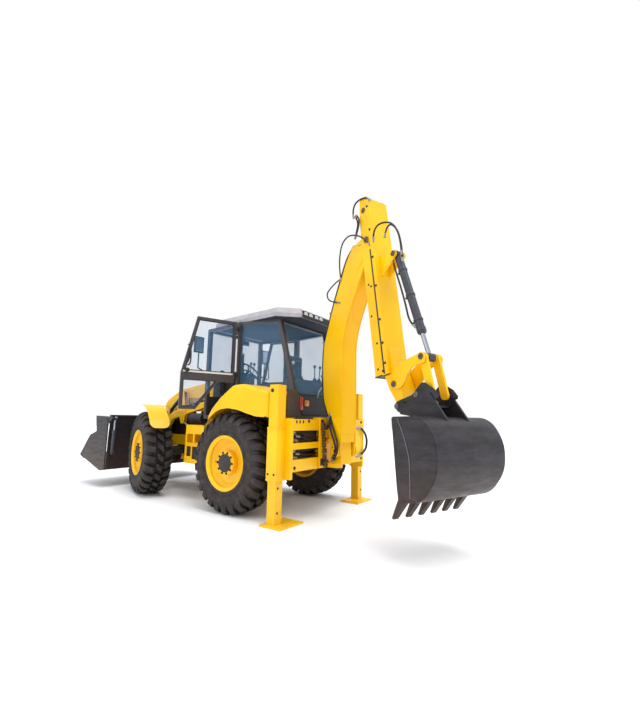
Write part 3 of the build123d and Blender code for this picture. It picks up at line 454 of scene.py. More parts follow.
def safety_glass(name, tint, alpha):
    """Toughened float glass with a faint blue-green body tint: sharp reflections and a clear
    view through, with a thin film of dust."""
    material, tree, shader, place = blank(name)
    film = noise(tree, place, 350, 5)
    haze = ranged(tree, film, (0.0, 1.0), (alpha - 0.05, alpha + 0.06))
    tree.links.new(haze, shader.inputs["Alpha"])
    shader.inputs["Base Color"].default_value = colour(tint)
    shader.inputs["Roughness"].default_value = 0.04
    shader.inputs["IOR"].default_value = 1.52
    return material


def woven_cloth():
    """Seat cloth of spun polyester: a plain weave of about 1.5 mm threads, drawn at 4 mm so that
    it shows, soft and without gloss."""
    material, tree, shader, place = blank("woven polyester seat cloth")
    threads = {"Vector": place, "Scale": 80, "Distortion": 0.6}
    warp = add(tree, "ShaderNodeTexWave", {"bands_direction": "Y"}, threads).outputs["Fac"]
    weft = add(tree, "ShaderNodeTexWave", {"bands_direction": "X"}, threads).outputs["Fac"]
    weave = multiplied(tree, warp, weft)
    base = ramp(tree, weave, [(0.1, colour("17181C")), (0.9, colour("2E3038"))])
    tree.links.new(base, shader.inputs["Base Color"])
    shader.inputs["Roughness"].default_value = 0.9
    shader.inputs["Sheen Weight"].default_value = 0.3
    bumped(tree, shader, weave, 0.5, 0.0008)
    return material


def lamp_lens(name, tint, roughness=0.15):
    """Moulded polycarbonate lens: glossy, with the fine prisms of its inner face."""
    material, tree, shader, place = blank(name)
    prisms = add(tree, "ShaderNodeTexWave", {"bands_direction": "Z"}, {"Vector": place, "Scale": 60})
    prisms = prisms.outputs["Fac"]
    bright = colour(tint)
    dim = [channel * 0.55 for channel in bright[:3]] + [1]
    base = ramp(tree, prisms, [(0.2, dim), (0.8, bright)])
    tree.links.new(base, shader.inputs["Base Color"])
    shader.inputs["Roughness"].default_value = roughness
    shader.inputs["Coat Weight"].default_value = 0.6
    bumped(tree, shader, prisms, 0.3, 0.0008)
    return material


yellow = enamel("yellow enamel on steel", "FDCA06", "F8BC03", "B99E6A", 0.9)
rim_yellow = enamel("yellow enamel on wheel", "FBC808", "F0B604", "A68B5C", 1.2)
dark_enamel = satin("charcoal cab enamel", "423D40", "343033", 0.42)
casting = satin("oiled iron casting", "3B3839", "282627", 0.5, 0.3, 12)
pin_steel = satin("worn pin steel", "7A6A50", "4E463B", 0.45, 0.5, 10)
rod_chrome = satin("hard chromed bar", "A6ABB6", "989DA8", 0.26, 1.0, 400, 0)
greasy_casting = satin("greasy brown casting", "7A5A34", "33261C", 0.5, 0.15, 30)
barrel_paint = satin("blue-grey cylinder paint", "3E414B", "2E3038", 0.38, 0.1)
steel = satin("zinc plated steel", "A9A9A6", "84847F", 0.38, 0.8, 8)
roof_grey = moulded("light grey ABS roof", "AFADB3", "9C9AA1", 0.5, 2.0, 0.12)
black_plastic = moulded("black polypropylene", "232226", "17161A", 0.6)
hose_rubber = moulded("black hydraulic hose", "1E1D20", "131215", 0.55, 2.5, 0.3)
tyre_material = tyre_rubber()
plate_steel = bucket_steel()
glazing = safety_glass("tinted safety glass", "4E8CBC", 0.16)
headlining = moulded("blue-grey headlining", "2B3446", "212938", 0.8)
seat_cloth = woven_cloth()
red_lens = lamp_lens("red polycarbonate lens", "B3161B")
amber_lens = lamp_lens("amber polycarbonate lens", "E58A12")
clear_lens = lamp_lens("clear polycarbonate lens", "E6E8EA", 0.08)
bare_edge = satin("rubbed steel edge", "7C7A7E", "565459", 0.45, 0.4, 14)
white_nylon = moulded("white nylon", "E4E2DC", "D2CFC6", 0.45)

looks = {
    "yellow_paint": yellow, "rim_paint": rim_yellow, "tyre_rubber": tyre_material, "dark_casting": casting,
    "cab_paint": dark_enamel, "roof_plastic": roof_grey, "black_plastic": black_plastic,
    "cab_glazing": glazing, "seat_fabric": seat_cloth,
    "bucket_steel": plate_steel, "cylinder_paint": barrel_paint, "chrome_rod": rod_chrome,
}
slot_of = {item["node"]: item["material_slot"] for item in frame["record"]["subparts"]}
for name, node_object in frame["nodes"].items():
    for material_slot in node_object.material_slots:
        material_slot.material = looks[slot_of[name]]
# The material slot that each material belongs to.
usual_slot = {material.name: slot for slot, material in looks.items()}
for slot, materials in (("black_plastic", (hose_rubber, red_lens, amber_lens, headlining)),
                        ("chrome_rod", (steel,)), ("dark_casting", (pin_steel, greasy_casting)),
                        ("bucket_steel", (bare_edge,)), ("roof_plastic", (white_nylon, clear_lens))):
    for material in materials:
        usual_slot[material.name] = slot


def finish_piece(piece, material, body, place=body_frame):
    """Gives a piece its place, its material and the body it rides on."""
    piece.data.transform(place)
    if place.to_3x3().determinant() < 0:
        piece.data.flip_normals()
    piece.data.materials.clear()
    piece.data.materials.append(material)
    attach(piece, body)
    return piece


def finish_set(name, pieces, material, body, place=body_frame):
    """Makes several pieces one and finishes it."""
    return finish_piece(joined(name, pieces), material, body, place)


def bolts(name, centres, toward, body, place=body_frame, radius=0.014, height=0.012):
    """A set of bolts as one piece."""
    piece = joined(name, [bolt(name, centre, toward, radius, height) for centre in centres])
    return finish_piece(piece, casting, body, place)


def on_machine(lines):
    """Lines of points in the machine's frame, moved to the row's."""
    return [[body_frame @ Vector(point) for point in line] for line in lines]


def hoses(name, lines, radius, body, place=Matrix.Identity(4)):
    """Hydraulic hoses as one piece, and the crimped fittings at their ends as another."""
    piece = joined(name, [tube(name, line, radius) for line in lines])
    finish_piece(piece, hose_rubber, body, place)
    ends = []
    for line in lines:
        for end, following in ((line[0], line[1]), (line[-1], line[-2])):
            end = Vector(end)
            along = (Vector(following) - end).normalized() * radius
            sleeve = drum(name, end - along, end + along * 3.2, radius * 1.28, 12)
            nut = drum(name, end - along * 2, end - along * 0.8, radius * 1.5, 6)
            ends += [round_edges(sleeve, radius * 0.15, 1), round_edges(nut, radius * 0.12, 1)]
    finish_set(name + "_fittings", ends, steel, body, place)

# ---- tyres ---------------------------------------------------------------------------
# Half outlines of the tyre, as (radius, distance from its middle).
CARCASS = [(0.345, 0.183), (0.372, 0.207), (0.400, 0.205), (0.430, 0.210), (0.470, 0.2135), (0.540, 0.2130),
           (0.580, 0.203), (0.612, 0.188), (0.634, 0.163), (0.643, 0.120), (0.645, 0.060)]
LINER = [(0.620, 0.060), (0.615, 0.120), (0.596, 0.152), (0.550, 0.185), (0.470, 0.197), (0.400, 0.188),
         (0.352, 0.168)]
# The shoulder lugs, from the middle outwards, and the centre blocks, as (distance, radius).
LUG_STATIONS = [(0.076, 0.6945), (0.112, 0.6945), (0.145, 0.688), (0.180, 0.670), (0.203, 0.640),
                (0.213, 0.600), (0.2145, 0.560)]
BLOCK_STATIONS = [(-0.046, 0.6948), (-0.015, 0.695), (0.015, 0.695), (0.046, 0.6948)]
LUG_COUNT = 26
TREAD_DEPTH = 0.052
FRONT_STEER = -17                              # how far the front wheels are turned at rest
NUT_COUNT, NUT_CIRCLE = 10, 0.143


def bent_block(name, stations, half_width, slant):
    """A rubber block laid over stations of (y, radius), slanting round the tyre."""
    clear()
    bpy.ops.mesh.primitive_grid_add(x_subdivisions=len(stations) - 1, y_subdivisions=1, size=2)
    piece = active()
    piece.name = name
    rows = sorted({round(vertex.co.x, 4) for vertex in piece.data.vertices})
    for vertex in piece.data.vertices:
        index = rows.index(round(vertex.co.x, 4))
        y, radius = stations[index]
        share = index / (len(stations) - 1)
        turn = slant * share + math.copysign(half_width * (1 - 0.15 * share), vertex.co.y) / radius
        vertex.co = (radius * math.sin(turn), y, radius * math.cos(turn))
    piece.data.update()
    if piece.data.polygons[0].normal.z < 0:
        piece.data.flip_normals()
    solid = piece.modifiers.new("depth", "SOLIDIFY")
    solid.thickness = TREAD_DEPTH
    solid.offset = -1
    bpy.ops.object.modifier_apply(modifier=solid.name)
    return round_edges(piece, 0.006, 2, 40)


def tyre(name):
    """A chunky-treaded tyre about the Y axis, its outside towards +Y."""
    half = CARCASS + [(r, -y) for r, y in reversed(CARCASS)]
    # The liner runs back from the inner bead to the outer one.
    inside = [(r, -y) for r, y in reversed(LINER)] + list(LINER)
    pieces = [spun(name, half + inside, "Y", 64, 50)]
    lug = bent_block(name, LUG_STATIONS, 0.050, 0.08)
    centre_block = bent_block(name, BLOCK_STATIONS, 0.048, 0.10)
    pitch = 2 * math.pi / LUG_COUNT
    for index in range(LUG_COUNT):
        pieces.append(copied(lug, Matrix.Rotation(index * pitch, 4, "Y")))
        other = copied(lug, Matrix.Rotation((index + 0.5) * pitch, 4, "Y") @ mirrored(-1))
        other.data.flip_normals()
        pieces += [other, copied(centre_block, Matrix.Rotation((index + 0.05) * pitch, 4, "Y"))]
    for spare in (lug, centre_block):
        bpy.data.objects.remove(spare)
    # Rim guard rings moulded on the sidewall.
    for side in (1, -1):
        guard = [(0.425, 0.205), (0.428, 0.2148), (0.436, 0.2148), (0.440, 0.206)]
        pieces.append(spun(name, [(radius, side * y) for radius, y in guard], "Y", 64))
    return joined(name, pieces)


def hub(name):
    """A wheel's hub cap and its ring of nuts on studs, about the Y axis."""
    pieces = [spun(name, [(0.001, 0.1905), (0.124, 0.1905), (0.124, 0.197), (0.114, 0.204), (0.060, 0.205),
                          (0.054, 0.2085), (0.001, 0.209)], "Y", 48)]
    for index in range(NUT_COUNT):
        turn = Matrix.Rotation(index * 2 * math.pi / NUT_COUNT, 4, "Y")
        pieces.append(bolt(name, turn @ Vector((NUT_CIRCLE, 0.188, 0)), (0, 1, 0), 0.013, 0.017))
    return joined(name, pieces)


master_tyre, master_hub = tyre("tyre_master"), hub("hub_master")
for axle, turned_by in (("rear", 0), ("front", FRONT_STEER)):
    for side, name in SIDES:
        corner = axle + "_" + name
        low, high = low_high("tyre_" + corner)
        turn = Matrix.Rotation(math.radians(turned_by), 4, "Z") @ mirrored(side)
        place = Matrix.Translation((low + high) / 2) @ turn
        wheel_body = axle + "_wheel_" + name
        piece = copied(master_tyre)
        piece.name = "treaded_tyre_" + corner
        finish_piece(piece, tyre_material, wheel_body, place)
        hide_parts("tyre_" + corner)
        cap = copied(master_hub)
        cap.name = "hub_cap_" + corner
        finish_piece(cap, casting, wheel_body, place)
        valve = tube("valve_" + corner, [(0.225, 0.098, 0), (0.229, 0.120, 0), (0.240, 0.138, 0),
                                         (0.252, 0.146, 0)], 0.006)
        finish_piece(valve, black_plastic, wheel_body, place)
for spare in (master_tyre, master_hub):
    bpy.data.objects.remove(spare)

# ---- seat ----------------------------------------------------------------------------
BULGE = 0.011                                  # the most that the foam swells
CLOTH_STEPS = 20


def cushion(name, corner, opposite):
    """A seat cushion: a rounded block remeshed fine, swollen as cloth over foam."""
    piece = cube(name, corner, opposite)
    edit_all()
    bpy.ops.mesh.bevel(offset=0.028, segments=4, affect="EDGES")
    done()
    piece.data.remesh_voxel_size = 0.006
    bpy.ops.object.voxel_remesh()
    piece = active()
    before = [vertex.co.copy() for vertex in piece.data.vertices]
    cloth = piece.modifiers.new("cloth", "CLOTH")
    cloth.settings.use_pressure = True
    cloth.settings.uniform_pressure_force = 4
    cloth.settings.effector_weights.gravity = 0
    cloth.collision_settings.use_collision = False
    for step in range(1, CLOTH_STEPS + 1):
        bpy.context.scene.frame_set(step)
    bpy.ops.object.modifier_apply(modifier=cloth.name)
    bpy.context.scene.frame_set(1)
    for vertex, start in zip(piece.data.vertices, before):
        grown = vertex.co - start
        if grown.length > BULGE:
            vertex.co = start + grown.normalized() * BULGE
    return piece


def sewn(piece, across, places, depth=0.007, width=0.012):
    """Presses sewn channels into a cushion where it crosses some places along an axis."""
    for vertex in piece.data.vertices:
        for place in places:
            near = abs(vertex.co[across] - place) / width
            if near < 1:
                vertex.co -= vertex.normal * depth * (1 - near * near)
    piece.data.update()
    chosen(piece)
    smooth = piece.modifiers.new("smooth", "SUBSURF")
    smooth.levels = smooth.render_levels = 1
    bpy.ops.object.modifier_apply(modifier=smooth.name)
    bpy.ops.object.shade_smooth()
    return piece


seat_low, seat_high = low_high("seat")
seat_middle = (seat_low.y + seat_high.y) / 2
left_edge, right_edge = seat_high.y - 0.012, seat_low.y + 0.012
base = cushion("seat_cushion", (seat_low.x + 0.078, right_edge, seat_low.z + 0.010),
               (seat_high.x - 0.012, left_edge, seat_low.z + 0.108))
sewn(base, 1, (seat_middle - 0.13, seat_middle + 0.13))
backrest = cushion("seat_backrest", (seat_low.x + 0.006, right_edge, seat_low.z + 0.05),
                   (seat_low.x + 0.062, left_edge, seat_high.z - 0.012))
sewn(backrest, 2, (seat_low.z + 0.25, seat_low.z + 0.43))
for pad in (base, backrest):
    finish_piece(pad, seat_cloth, "frame", Matrix.Identity(4))
    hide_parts("seat")

# ---- inside the cab ------------------------------------------------------------------
# Each lever's foot, and how far its top leans across.
LEVERS = ((-0.68, 0.30, 1.91, 0.05), (-0.68, 0.18, 1.91, 0.02), (-0.68, -0.18, 1.91, -0.02),
          (-0.68, -0.30, 1.91, -0.05), (0.76, -0.16, 2.05, -0.03), (0.76, -0.22, 2.05, -0.05))
GAITER = [(0.001, 0), (0.045, 0), (0.036, 0.016), (0.040, 0.022), (0.026, 0.038), (0.030, 0.044),
          (0.014, 0.062), (0.001, 0.062)]
KNOB = [(0.001, 0), (0.012, 0.002), (0.021, 0.018), (0.023, 0.034), (0.017, 0.050), (0.001, 0.055)]
levers, knobs = [], []
for x, y, z, lean in LEVERS:
    top = (x + 0.02, y + lean, z + 0.22)
    levers.append(tube("levers", [(x, y, z - 0.02), (x, y, z + 0.10), top], 0.008))
    levers.append(set_at(spun("levers", GAITER, "Z", 20), (x, y, z)))
    knobs.append(set_at(spun("knobs", KNOB, "Z", 24, 60), top))
finish_set("lever_stems", levers, black_plastic, "frame")
finish_set("white_lever_knob", [knobs.pop(0)], white_nylon, "frame")
finish_set("lever_knobs", knobs, black_plastic, "frame")

dashboard = panel("dashboard", (0.745, -0.21, 2.06), (0.895, 0.21, 2.11), 2, 1, 0.012, (0, 0, -0.006),
                  rounding=0.008, segments=3)
finish_piece(dashboard, black_plastic, "frame")
handrail = tube("cab_handrail", [(0.94, 0.30, 1.66), (0.93, 0.30, 2.02), (0.90, 0.33, 2.10),
                                 (0.84, 0.46, 2.11), (0.82, 0.52, 2.00)], 0.013)
finish_piece(handrail, black_plastic, "frame")
mirror_shell = panel("interior_mirror", (0.80, -0.14, 2.62), (0.83, 0.10, 2.70), 0, -1, 0.006,
                     (0.004, 0, 0), rounding=0.010, segments=3)
mirror_stalk = tube("interior_mirror", [(0.825, -0.02, 2.68), (0.86, -0.02, 2.72), (0.88, -0.02, 2.79)],
                    0.007)
finish_set("interior_mirror", [mirror_shell, mirror_stalk], black_plastic, "frame")

ROOF_EDGE = [(0.886, 0.486), (0.772, 0.645), (-0.612, 0.724), (-0.886, 0.468)]
lining = cut_plate("headlining", ROOF_EDGE + [(x, -y) for x, y in reversed(ROOF_EDGE)], 2.788, 2.7975,
                   0.002)
lining.data.transform(Matrix.Rotation(math.pi / 2, 4, "X"))
finish_piece(lining, headlining, "frame")
cables = [
    [(0.13, 0.66, 2.05), (0.10, 0.60, 1.90), (0.04, 0.55, 1.72), (0.02, 0.52, 1.50), (0.02, 0.50, 1.36)],
    [(-0.60, 0.20, 1.88), (-0.55, 0.28, 1.74), (-0.57, 0.40, 1.60), (-0.62, 0.44, 1.40)],
]
cables = joined("cab_cables", [tube("cab_cables", line, 0.009) for line in cables])
finish_piece(cables, hose_rubber, "frame")

# ---- outside of the cab --------------------------------------------------------------
handle = tube("rear_window_handle", [(-0.905, 0.045, 1.640), (-0.900, 0.030, 1.710),
                                     (-0.880, -0.070, 1.790), (-0.865, -0.210, 1.850)], 0.009)
finish_piece(handle, steel, "frame")

# Round work lamps on the rear panel, each a bezel round a ribbed lens.
LAMP_BEZEL = [(0.050, -0.002), (0.059, -0.002), (0.059, 0.005), (0.055, 0.008), (0.051, 0.007)]
LAMP_LENS = [(0.001, -0.002), (0.051, -0.002), (0.051, 0.004), (0.032, 0.007), (0.001, 0.008)]
bezels, lenses = [], []
for y in (0.368, 0.246, 0.100, -0.020):
    centre = (-0.893, y, 2.862)
    bezels.append(set_at(spun("lamp_bezels", LAMP_BEZEL), centre, FACING_REAR))
    lenses.append(set_at(spun("work_lamps", LAMP_LENS, "Z", 32, 60), centre, FACING_REAR))
finish_set("lamp_bezels", bezels, black_plastic, "frame")
finish_set("work_lamps", lenses, clear_lens, "frame")

# Rectangular lamps and reflectors, with domed faces.
for side, name in SIDES:
    for title, y_in, y_out, low, high, back, lens in (
            ("tail_lamp_", 0.415, 0.485, 1.44, 1.63, -0.918, red_lens),
            ("reflector_", 0.24, 0.34, 1.50, 1.59, -0.895, amber_lens)):
        lamp = panel(title + name, (back, side * y_in, low), (-0.876, side * y_out, high), 0, -1, 0.008,
                     (-0.004, 0, 0), rounding=0.005, segments=3)
        finish_piece(lamp, lens, "frame")
rear_trim = panel("rear_trim", (-0.888, -0.50, 1.37), (-0.879, 0.40, 1.655), 0, -1, 0.02, (0.004, 0, 0),
                  step=True, rounding=0.003)
finish_piece(rear_trim, black_plastic, "frame")
for name, corner, opposite, material in (
        ("cab_corner_left", (-0.912, 0.500, 1.345), (-0.903, 0.765, 1.722), dark_enamel),
        ("cab_corner_right", (-0.912, -0.765, 1.345), (-0.903, -0.500, 1.722), dark_enamel),
        ("roof_rear_lip", (-0.9045, -0.465, 2.802), (-0.8995, 0.465, 2.853), black_plastic)):
    piece = panel(name, corner, opposite, 0, -1, 0.014, (0.003, 0, 0))
    finish_piece(piece, material, "frame")

# Dark liners close the rear wheel arches towards the machine's middle.
ARCH = [(-0.860, 0.98), (-0.860, 1.44), (-0.300, 1.60), (0.160, 1.60), (0.320, 1.40), (0.320, 0.98)]
arch_inside = low_high("tyre_rear_left")[0].y - machine.y - 0.030
for side, name in SIDES:
    liner = cut_plate("arch_liner_" + name, ARCH, side * arch_inside, side * (arch_inside + 0.008), 0.002,
                      0.05)
    finish_piece(liner, black_plastic, "frame")

# Glazing gaskets round the rear window and behind the doors.
gasket_lines = [[(-0.872, -0.52, 1.675), (-0.872, 0.0, 1.675), (-0.872, 0.52, 1.675)]]
for side in (1, -1):
    gasket_lines.append([(-0.872, side * 0.525, 1.68), (-0.745, side * 0.55, 2.2),
                         (-0.605, side * 0.575, 2.76)])
    gasket_lines.append([(0.10, side * 0.742, 1.68), (0.10, side * 0.742, 2.2), (0.10, side * 0.742, 2.74)])
gaskets = joined("window_gaskets", [tube("window_gaskets", line, 0.008) for line in gasket_lines])
finish_piece(gaskets, black_plastic, "frame")

hatch = panel("roof_hatch", (-0.30, -0.30, 2.9465), (0.36, 0.30, 2.9495), 2, 1, 0.03, (0, 0, -0.0015),
              step=True, rounding=0.001, segments=1)
finish_piece(hatch, roof_grey, "frame")

mirrors = []
for side in (1, -1):
    glass = cube("mirror_glasses", (1.0035, side * 0.727, 2.398), (1.0055, side * 0.863, 2.632))
    mirrors.append(round_edges(glass, 0.0009, 1))
finish_set("mirror_glasses", mirrors, rod_chrome, "frame")

# ---- left and right door -------------------------------------------------------------
DOOR_CLOSED = math.atan2(-0.100, 0.850)        # the shut door leans in towards the front
HANDLE = [(0.700, 0.034, 2.32), (0.690, 0.075, 2.32), (0.680, 0.082, 2.26), (0.676, 0.082, 2.12),
          (0.684, 0.075, 2.06), (0.700, 0.034, 2.06)]
INNER_HANDLE = [(0.705, 0.004, 2.36), (0.66, -0.05, 2.35), (0.65, -0.055, 2.2), (0.70, 0.004, 2.10)]
LATCH = [(0.001, 0.034), (0.020, 0.034), (0.020, 0.050), (0.030, 0.056), (0.030, 0.074), (0.001, 0.080)]
PANES = ([(0.045, 1.990), (0.735, 1.990), (0.570, 2.745), (0.045, 2.745)],
         [(0.285, 1.850), (0.570, 1.475), (0.750, 1.475), (0.750, 1.850)])
HINGE_BARREL = [(0.009, -0.014), (0.017, -0.014), (0.0185, -0.008), (0.0185, 0.008), (0.017, 0.014),
                (0.009, 0.014)]


def door_details(name, opened, side):
    """Door furniture in the door's own frame: X along it from the hinge, Y outwards."""
    place = body_frame @ mirrored(side) @ Matrix.Translation((0.164, 0.754, 0))
    place = place @ Matrix.Rotation(DOOR_CLOSED + math.radians(opened), 4, "Z")
    place = place @ Matrix.Translation((0.020, 0.008, 0))
    body = "door_" + name
    title = "door_handle_" + name
    latch = set_at(spun(title, LATCH, "Y", 24), (0.712, 0, 1.985))
    furniture = joined(title, [tube(title, HANDLE, 0.010), latch, tube(title, INNER_HANDLE, 0.010)])
    finish_piece(furniture, black_plastic, body, place)
    title = "door_gasket_" + name
    lines = []
    for outline in PANES:
        for y in (0.003, 0.033):
            for start, end in zip(outline, outline[1:] + outline[:1]):
                middle = ((start[0] + end[0]) / 2, y, (start[1] + end[1]) / 2)
                points = [(start[0], y, start[1]), middle, (end[0], y, end[1])]
                lines.append(tube(title, points, 0.007, 2))
    finish_set(title, lines, hose_rubber, body, place)
    rail = panel("door_rail_" + name, (0.03, 0.036, 1.958), (0.765, 0.044, 1.982), 1, 1, 0.004,
                 (0, -0.003, 0), rounding=0.002, segments=1)
    finish_piece(rail, white_nylon, body, place)
    title = "door_hinges_" + name
    hinges = []
    for z in (1.960, 2.680):
        hinges.append(set_at(spun(title, HINGE_BARREL, "Z", 20), (-0.020, -0.008, z)))
        hinges.append(bolt(title, (0.028, 0.036, z), (0, 1, 0), 0.009, 0.007))
    finish_set(title, hinges, casting, body, place)


door_details("left", 75, 1)
door_details("right", 0, -1)

# ---- rear frame ----------------------------------------------------------------------
# Dark discs on the rear rail's face: painted shadow standing in for the shade inside its holes.
HOLE = [(0.001, 0), (0.017, 0), (0.022, 0.002), (0.022, 0.0035), (0.001, 0.0035)]
slots = []
for y in (0.84, 0.77, 0.70, -0.40):
    slots.append(set_at(spun("rail_holes", HOLE, "Z", 20), (-1.1505, y, 1.285),
                        FACING_REAR @ Matrix.Scale(0.65, 4, (0, 1, 0))))
finish_set("rail_holes", slots, casting, "frame")
bolts("rail_bolts", [(-1.150, 0.575, 1.295), (-1.1535, -0.86, 1.28), (-1.1535, -0.86, 0.70),
                     (-1.150, 0.86, 0.70)], (-1, 0, 0), "frame", radius=0.017)
cover = slab("rail_end_cover", (-1.1535, -0.905, 0.672), (-1.1496, -0.560, 1.308), 2, 0.0015)
finish_piece(cover, yellow, "frame")

# Hoses run across the rear frame's two openings, behind the rails, and sag a little.
runs = []
for index, z in enumerate((1.150, 1.122, 1.094, 1.068, 1.042, 1.018, 0.915, 0.892, 0.868, 0.844, 0.820)):
    sag = 0.014 + 0.010 * (index % 3)
    depth = -1.080 + 0.026 * (index % 2)
    y_high, y_low = 0.84 - 0.05 * (index % 3), -0.52 + 0.06 * (index % 4)
    runs.append([(depth, y_high, z), (depth - 0.016, y_high - 0.22, z - sag),
                 (depth + 0.012, 0.36, z - sag * 0.3), (depth - 0.014, 0.05, z - sag * 1.3),
                 (depth - 0.010, y_low + 0.2, z - sag), (depth, y_low, z + 0.01)])
hoses("rear_frame_hoses", on_machine(runs), 0.0155, "frame")
backing = slab("rear_frame_backing", (-1.020, -0.86, 0.795), (-1.012, 0.86, 1.172), 2)
finish_piece(backing, black_plastic, "frame")
valve = panel("valve_block", (-1.085, 0.30, 1.015), (-1.035, 0.62, 1.165), 0, -1, 0.018, (-0.012, 0, 0),
              step=True, rounding=0.004)
finish_piece(valve, casting, "frame")

# ---- stabilizers ---------------------------------------------------------------------
LEG_INSIDE, LEG_OUTSIDE = 0.9500, 1.1000       # the guide housing's faces, from the machine's middle
HOUSING_FOOT, HOUSING_HEAD = 0.560, 1.205
LIFTING_HOLE = [(0.001, 0.0), (0.020, 0.0), (0.026, 0.002), (0.026, 0.004), (0.001, 0.004)]
sleeves, collars, holes = [], [], []
for side, name in SIDES:
    y_in, y_out = side * (LEG_INSIDE - 0.004), side * (LEG_OUTSIDE - 0.0002)
    sleeve_face, collar_face = side * (LEG_OUTSIDE + 0.013), side * (LEG_OUTSIDE + 0.018)
    for x, near, y, inner in ((-1.063, -1.0498, sleeve_face, y_in), (-1.058, -0.892, sleeve_face, y_out)):
        sleeves.append(slab("guide_sleeves", (x, inner, HOUSING_FOOT), (near, y, HOUSING_HEAD), 1, 0.004,
                            2))
    for z, half in ((HOUSING_HEAD, 0.009), (HOUSING_FOOT, 0.010)):
        for x, near, inner in ((-1.068, -1.0498, y_in), (-1.060, -0.890, y_out)):
            collars.append(slab("sleeve_collars", (x, inner, z - half), (near, collar_face, z + half), 1,
                                0.004, 2))
    # A dark disc on each guide housing's outer face: painted shadow standing in for the shade inside its lifting
    # hole.
    hole = set_at(spun("lifting_holes", LIFTING_HOLE, "Y", 24), (-0.948, side * LEG_OUTSIDE, 1.682),
                  mirrored(side))
    holes.append(recalculated(hole))
    for x in (-0.925, -1.025):
        holes.append(bolt("lifting_holes", (x, side * 1.1135, 0.63), (0, side, 0), 0.011, 0.008))
    tread = panel("pad_plate_" + name, (-1.165, side * 0.725, 0.0235), (-0.875, side * 0.90, 0.030), 2, 1,
                  0.02, (0, 0, -0.004), step=True, segments=1)
    finish_piece(tread, yellow, "stabilizer_leg_" + name)
    bolts("leg_bolts_" + name, [(-1.0405, side * 1.045, z) for z in (0.46, 0.165)], (-1, 0, 0),
          "stabilizer_leg_" + name, radius=0.012, height=0.008)
finish_set("guide_sleeves", sleeves, yellow, "frame")
finish_set("sleeve_collars", collars, yellow, "frame")
finish_set("lifting_holes", holes, casting, "frame")

# Hose loop at the right housing, and a straight one at the left.
hoses("housing_hoses", on_machine([
    [(-1.153, -0.720, 1.190), (-1.185, -0.760, 1.190), (-1.190, -0.850, 1.160), (-1.190, -0.965, 1.065),
     (-1.190, -0.995, 0.950), (-1.190, -0.955, 0.845), (-1.185, -0.835, 0.770), (-1.153, -0.740, 0.745)],
    [(-0.93, 0.935, 1.62), (-0.93, 0.920, 1.45), (-0.94, 0.925, 1.36)],
]), 0.019, "frame")

# ---- carriage and swing post ---------------------------------------------------------
CARRIAGE_FACE = -1.1852
CARRIAGE_MIDDLE = 0.140
pins = []
for z, radius, sides in ((1.0505, 0.062, 24), (1.066, 0.040, 6), (0.6595, 0.062, 24), (0.648, 0.045, 6)):
    height = 0.016 if z > 0.9 else -0.014
    pins.append(round_edges(drum("kingpin_caps", (0, 0, z), (0, 0, z + height), radius, sides), 0.003))
caps = joined("kingpin_caps", pins)
finish_piece(caps, casting, "carriage", Matrix.Translation((kingpin.x, kingpin.y, 0)))
clamps = []
for y in (CARRIAGE_MIDDLE - 0.165, CARRIAGE_MIDDLE + 0.165):
    for z in (1.268, 0.735):
        clamps.append(panel("carriage_clamps", (-1.186, y - 0.038, z - 0.05),
                            (-1.1545, y + 0.038, z + 0.05), 0, -1, 0.012, (-0.010, 0, 0), step=True,
                            rounding=0.004))
        clamps.append(bolt("carriage_clamps", (-1.196, y, z), (-1, 0, 0), 0.016, 0.016))
finish_set("carriage_clamps", clamps, casting, "carriage")

# Greasy cast cleats, as (y, z, height), and the swing cylinders' pin ends, as (y, z, radius).
CLEATS = ((0.318, 1.225, 0.105), (0.300, 1.120, 0.070), (0.283, 1.040, 0.060), (0.278, 0.965, 0.065),
          (0.270, 0.885, 0.070), (0.262, 0.800, 0.075))
SWING_PINS = ((0.232, 0.716, 0.056), (0.235, 1.215, 0.040))
cleats = []
for index, (y, z, height) in enumerate(CLEATS):
    x = -1.222 + 0.008 * (index % 2)
    cleats.append(panel("carriage_cleats", (x, y - 0.034, z - height / 2),
                        (CARRIAGE_FACE, y + 0.030, z + height / 2), 0, -1, 0.010, (-0.008, 0, 0.004),
                        rounding=0.007))
    cleats.append(bolt("carriage_cleats", (x - 0.006, y, z), (-1, 0, 0), 0.012, 0.010))
for y, z, radius in SWING_PINS:
    boss = [(0.001, 0.0), (radius, 0.0), (radius, 0.030), (radius * 0.85, 0.038), (radius * 0.55, 0.038),
            (radius * 0.5, 0.030), (0.001, 0.030)]
    cleats.append(set_at(spun("carriage_cleats", boss), (CARRIAGE_FACE, y, z), FACING_REAR))
finish_set("carriage_cleats", cleats, greasy_casting, "carriage")

LOBE = [(0.001, 0.0), (0.080, 0.0), (0.086, 0.004), (0.086, 0.012), (0.050, 0.016), (0.046, 0.026),
        (0.001, 0.028)]
lobes = []
for side in (1, -1):
    for r, y, z, scale in ((0.150, 0.139, 0.905, 1.05), (-0.075, 0.086, 1.165, 0.55)):
        size = Matrix.Scale(scale, 4, (1, 0, 0)) @ Matrix.Scale(scale, 4, (0, 0, 1))
        lobe = set_at(spun("pivot_caps", LOBE, "Y", 40), (r, side * y, z), mirrored(side) @ size)
        lobes.append(recalculated(lobe))
finish_set("pivot_caps", lobes, yellow, "swing_post", arm_frame)
ring = [(0.150 + 0.062 * math.cos(angle), -0.153, 0.905 + 0.062 * math.sin(angle))
        for angle in (0.4, 2.5, 4.6)]
bolts("pivot_cap_bolts", [(0.150, -0.166, 0.905)] + ring, (0, -1, 0), "swing_post", arm_frame, 0.011)
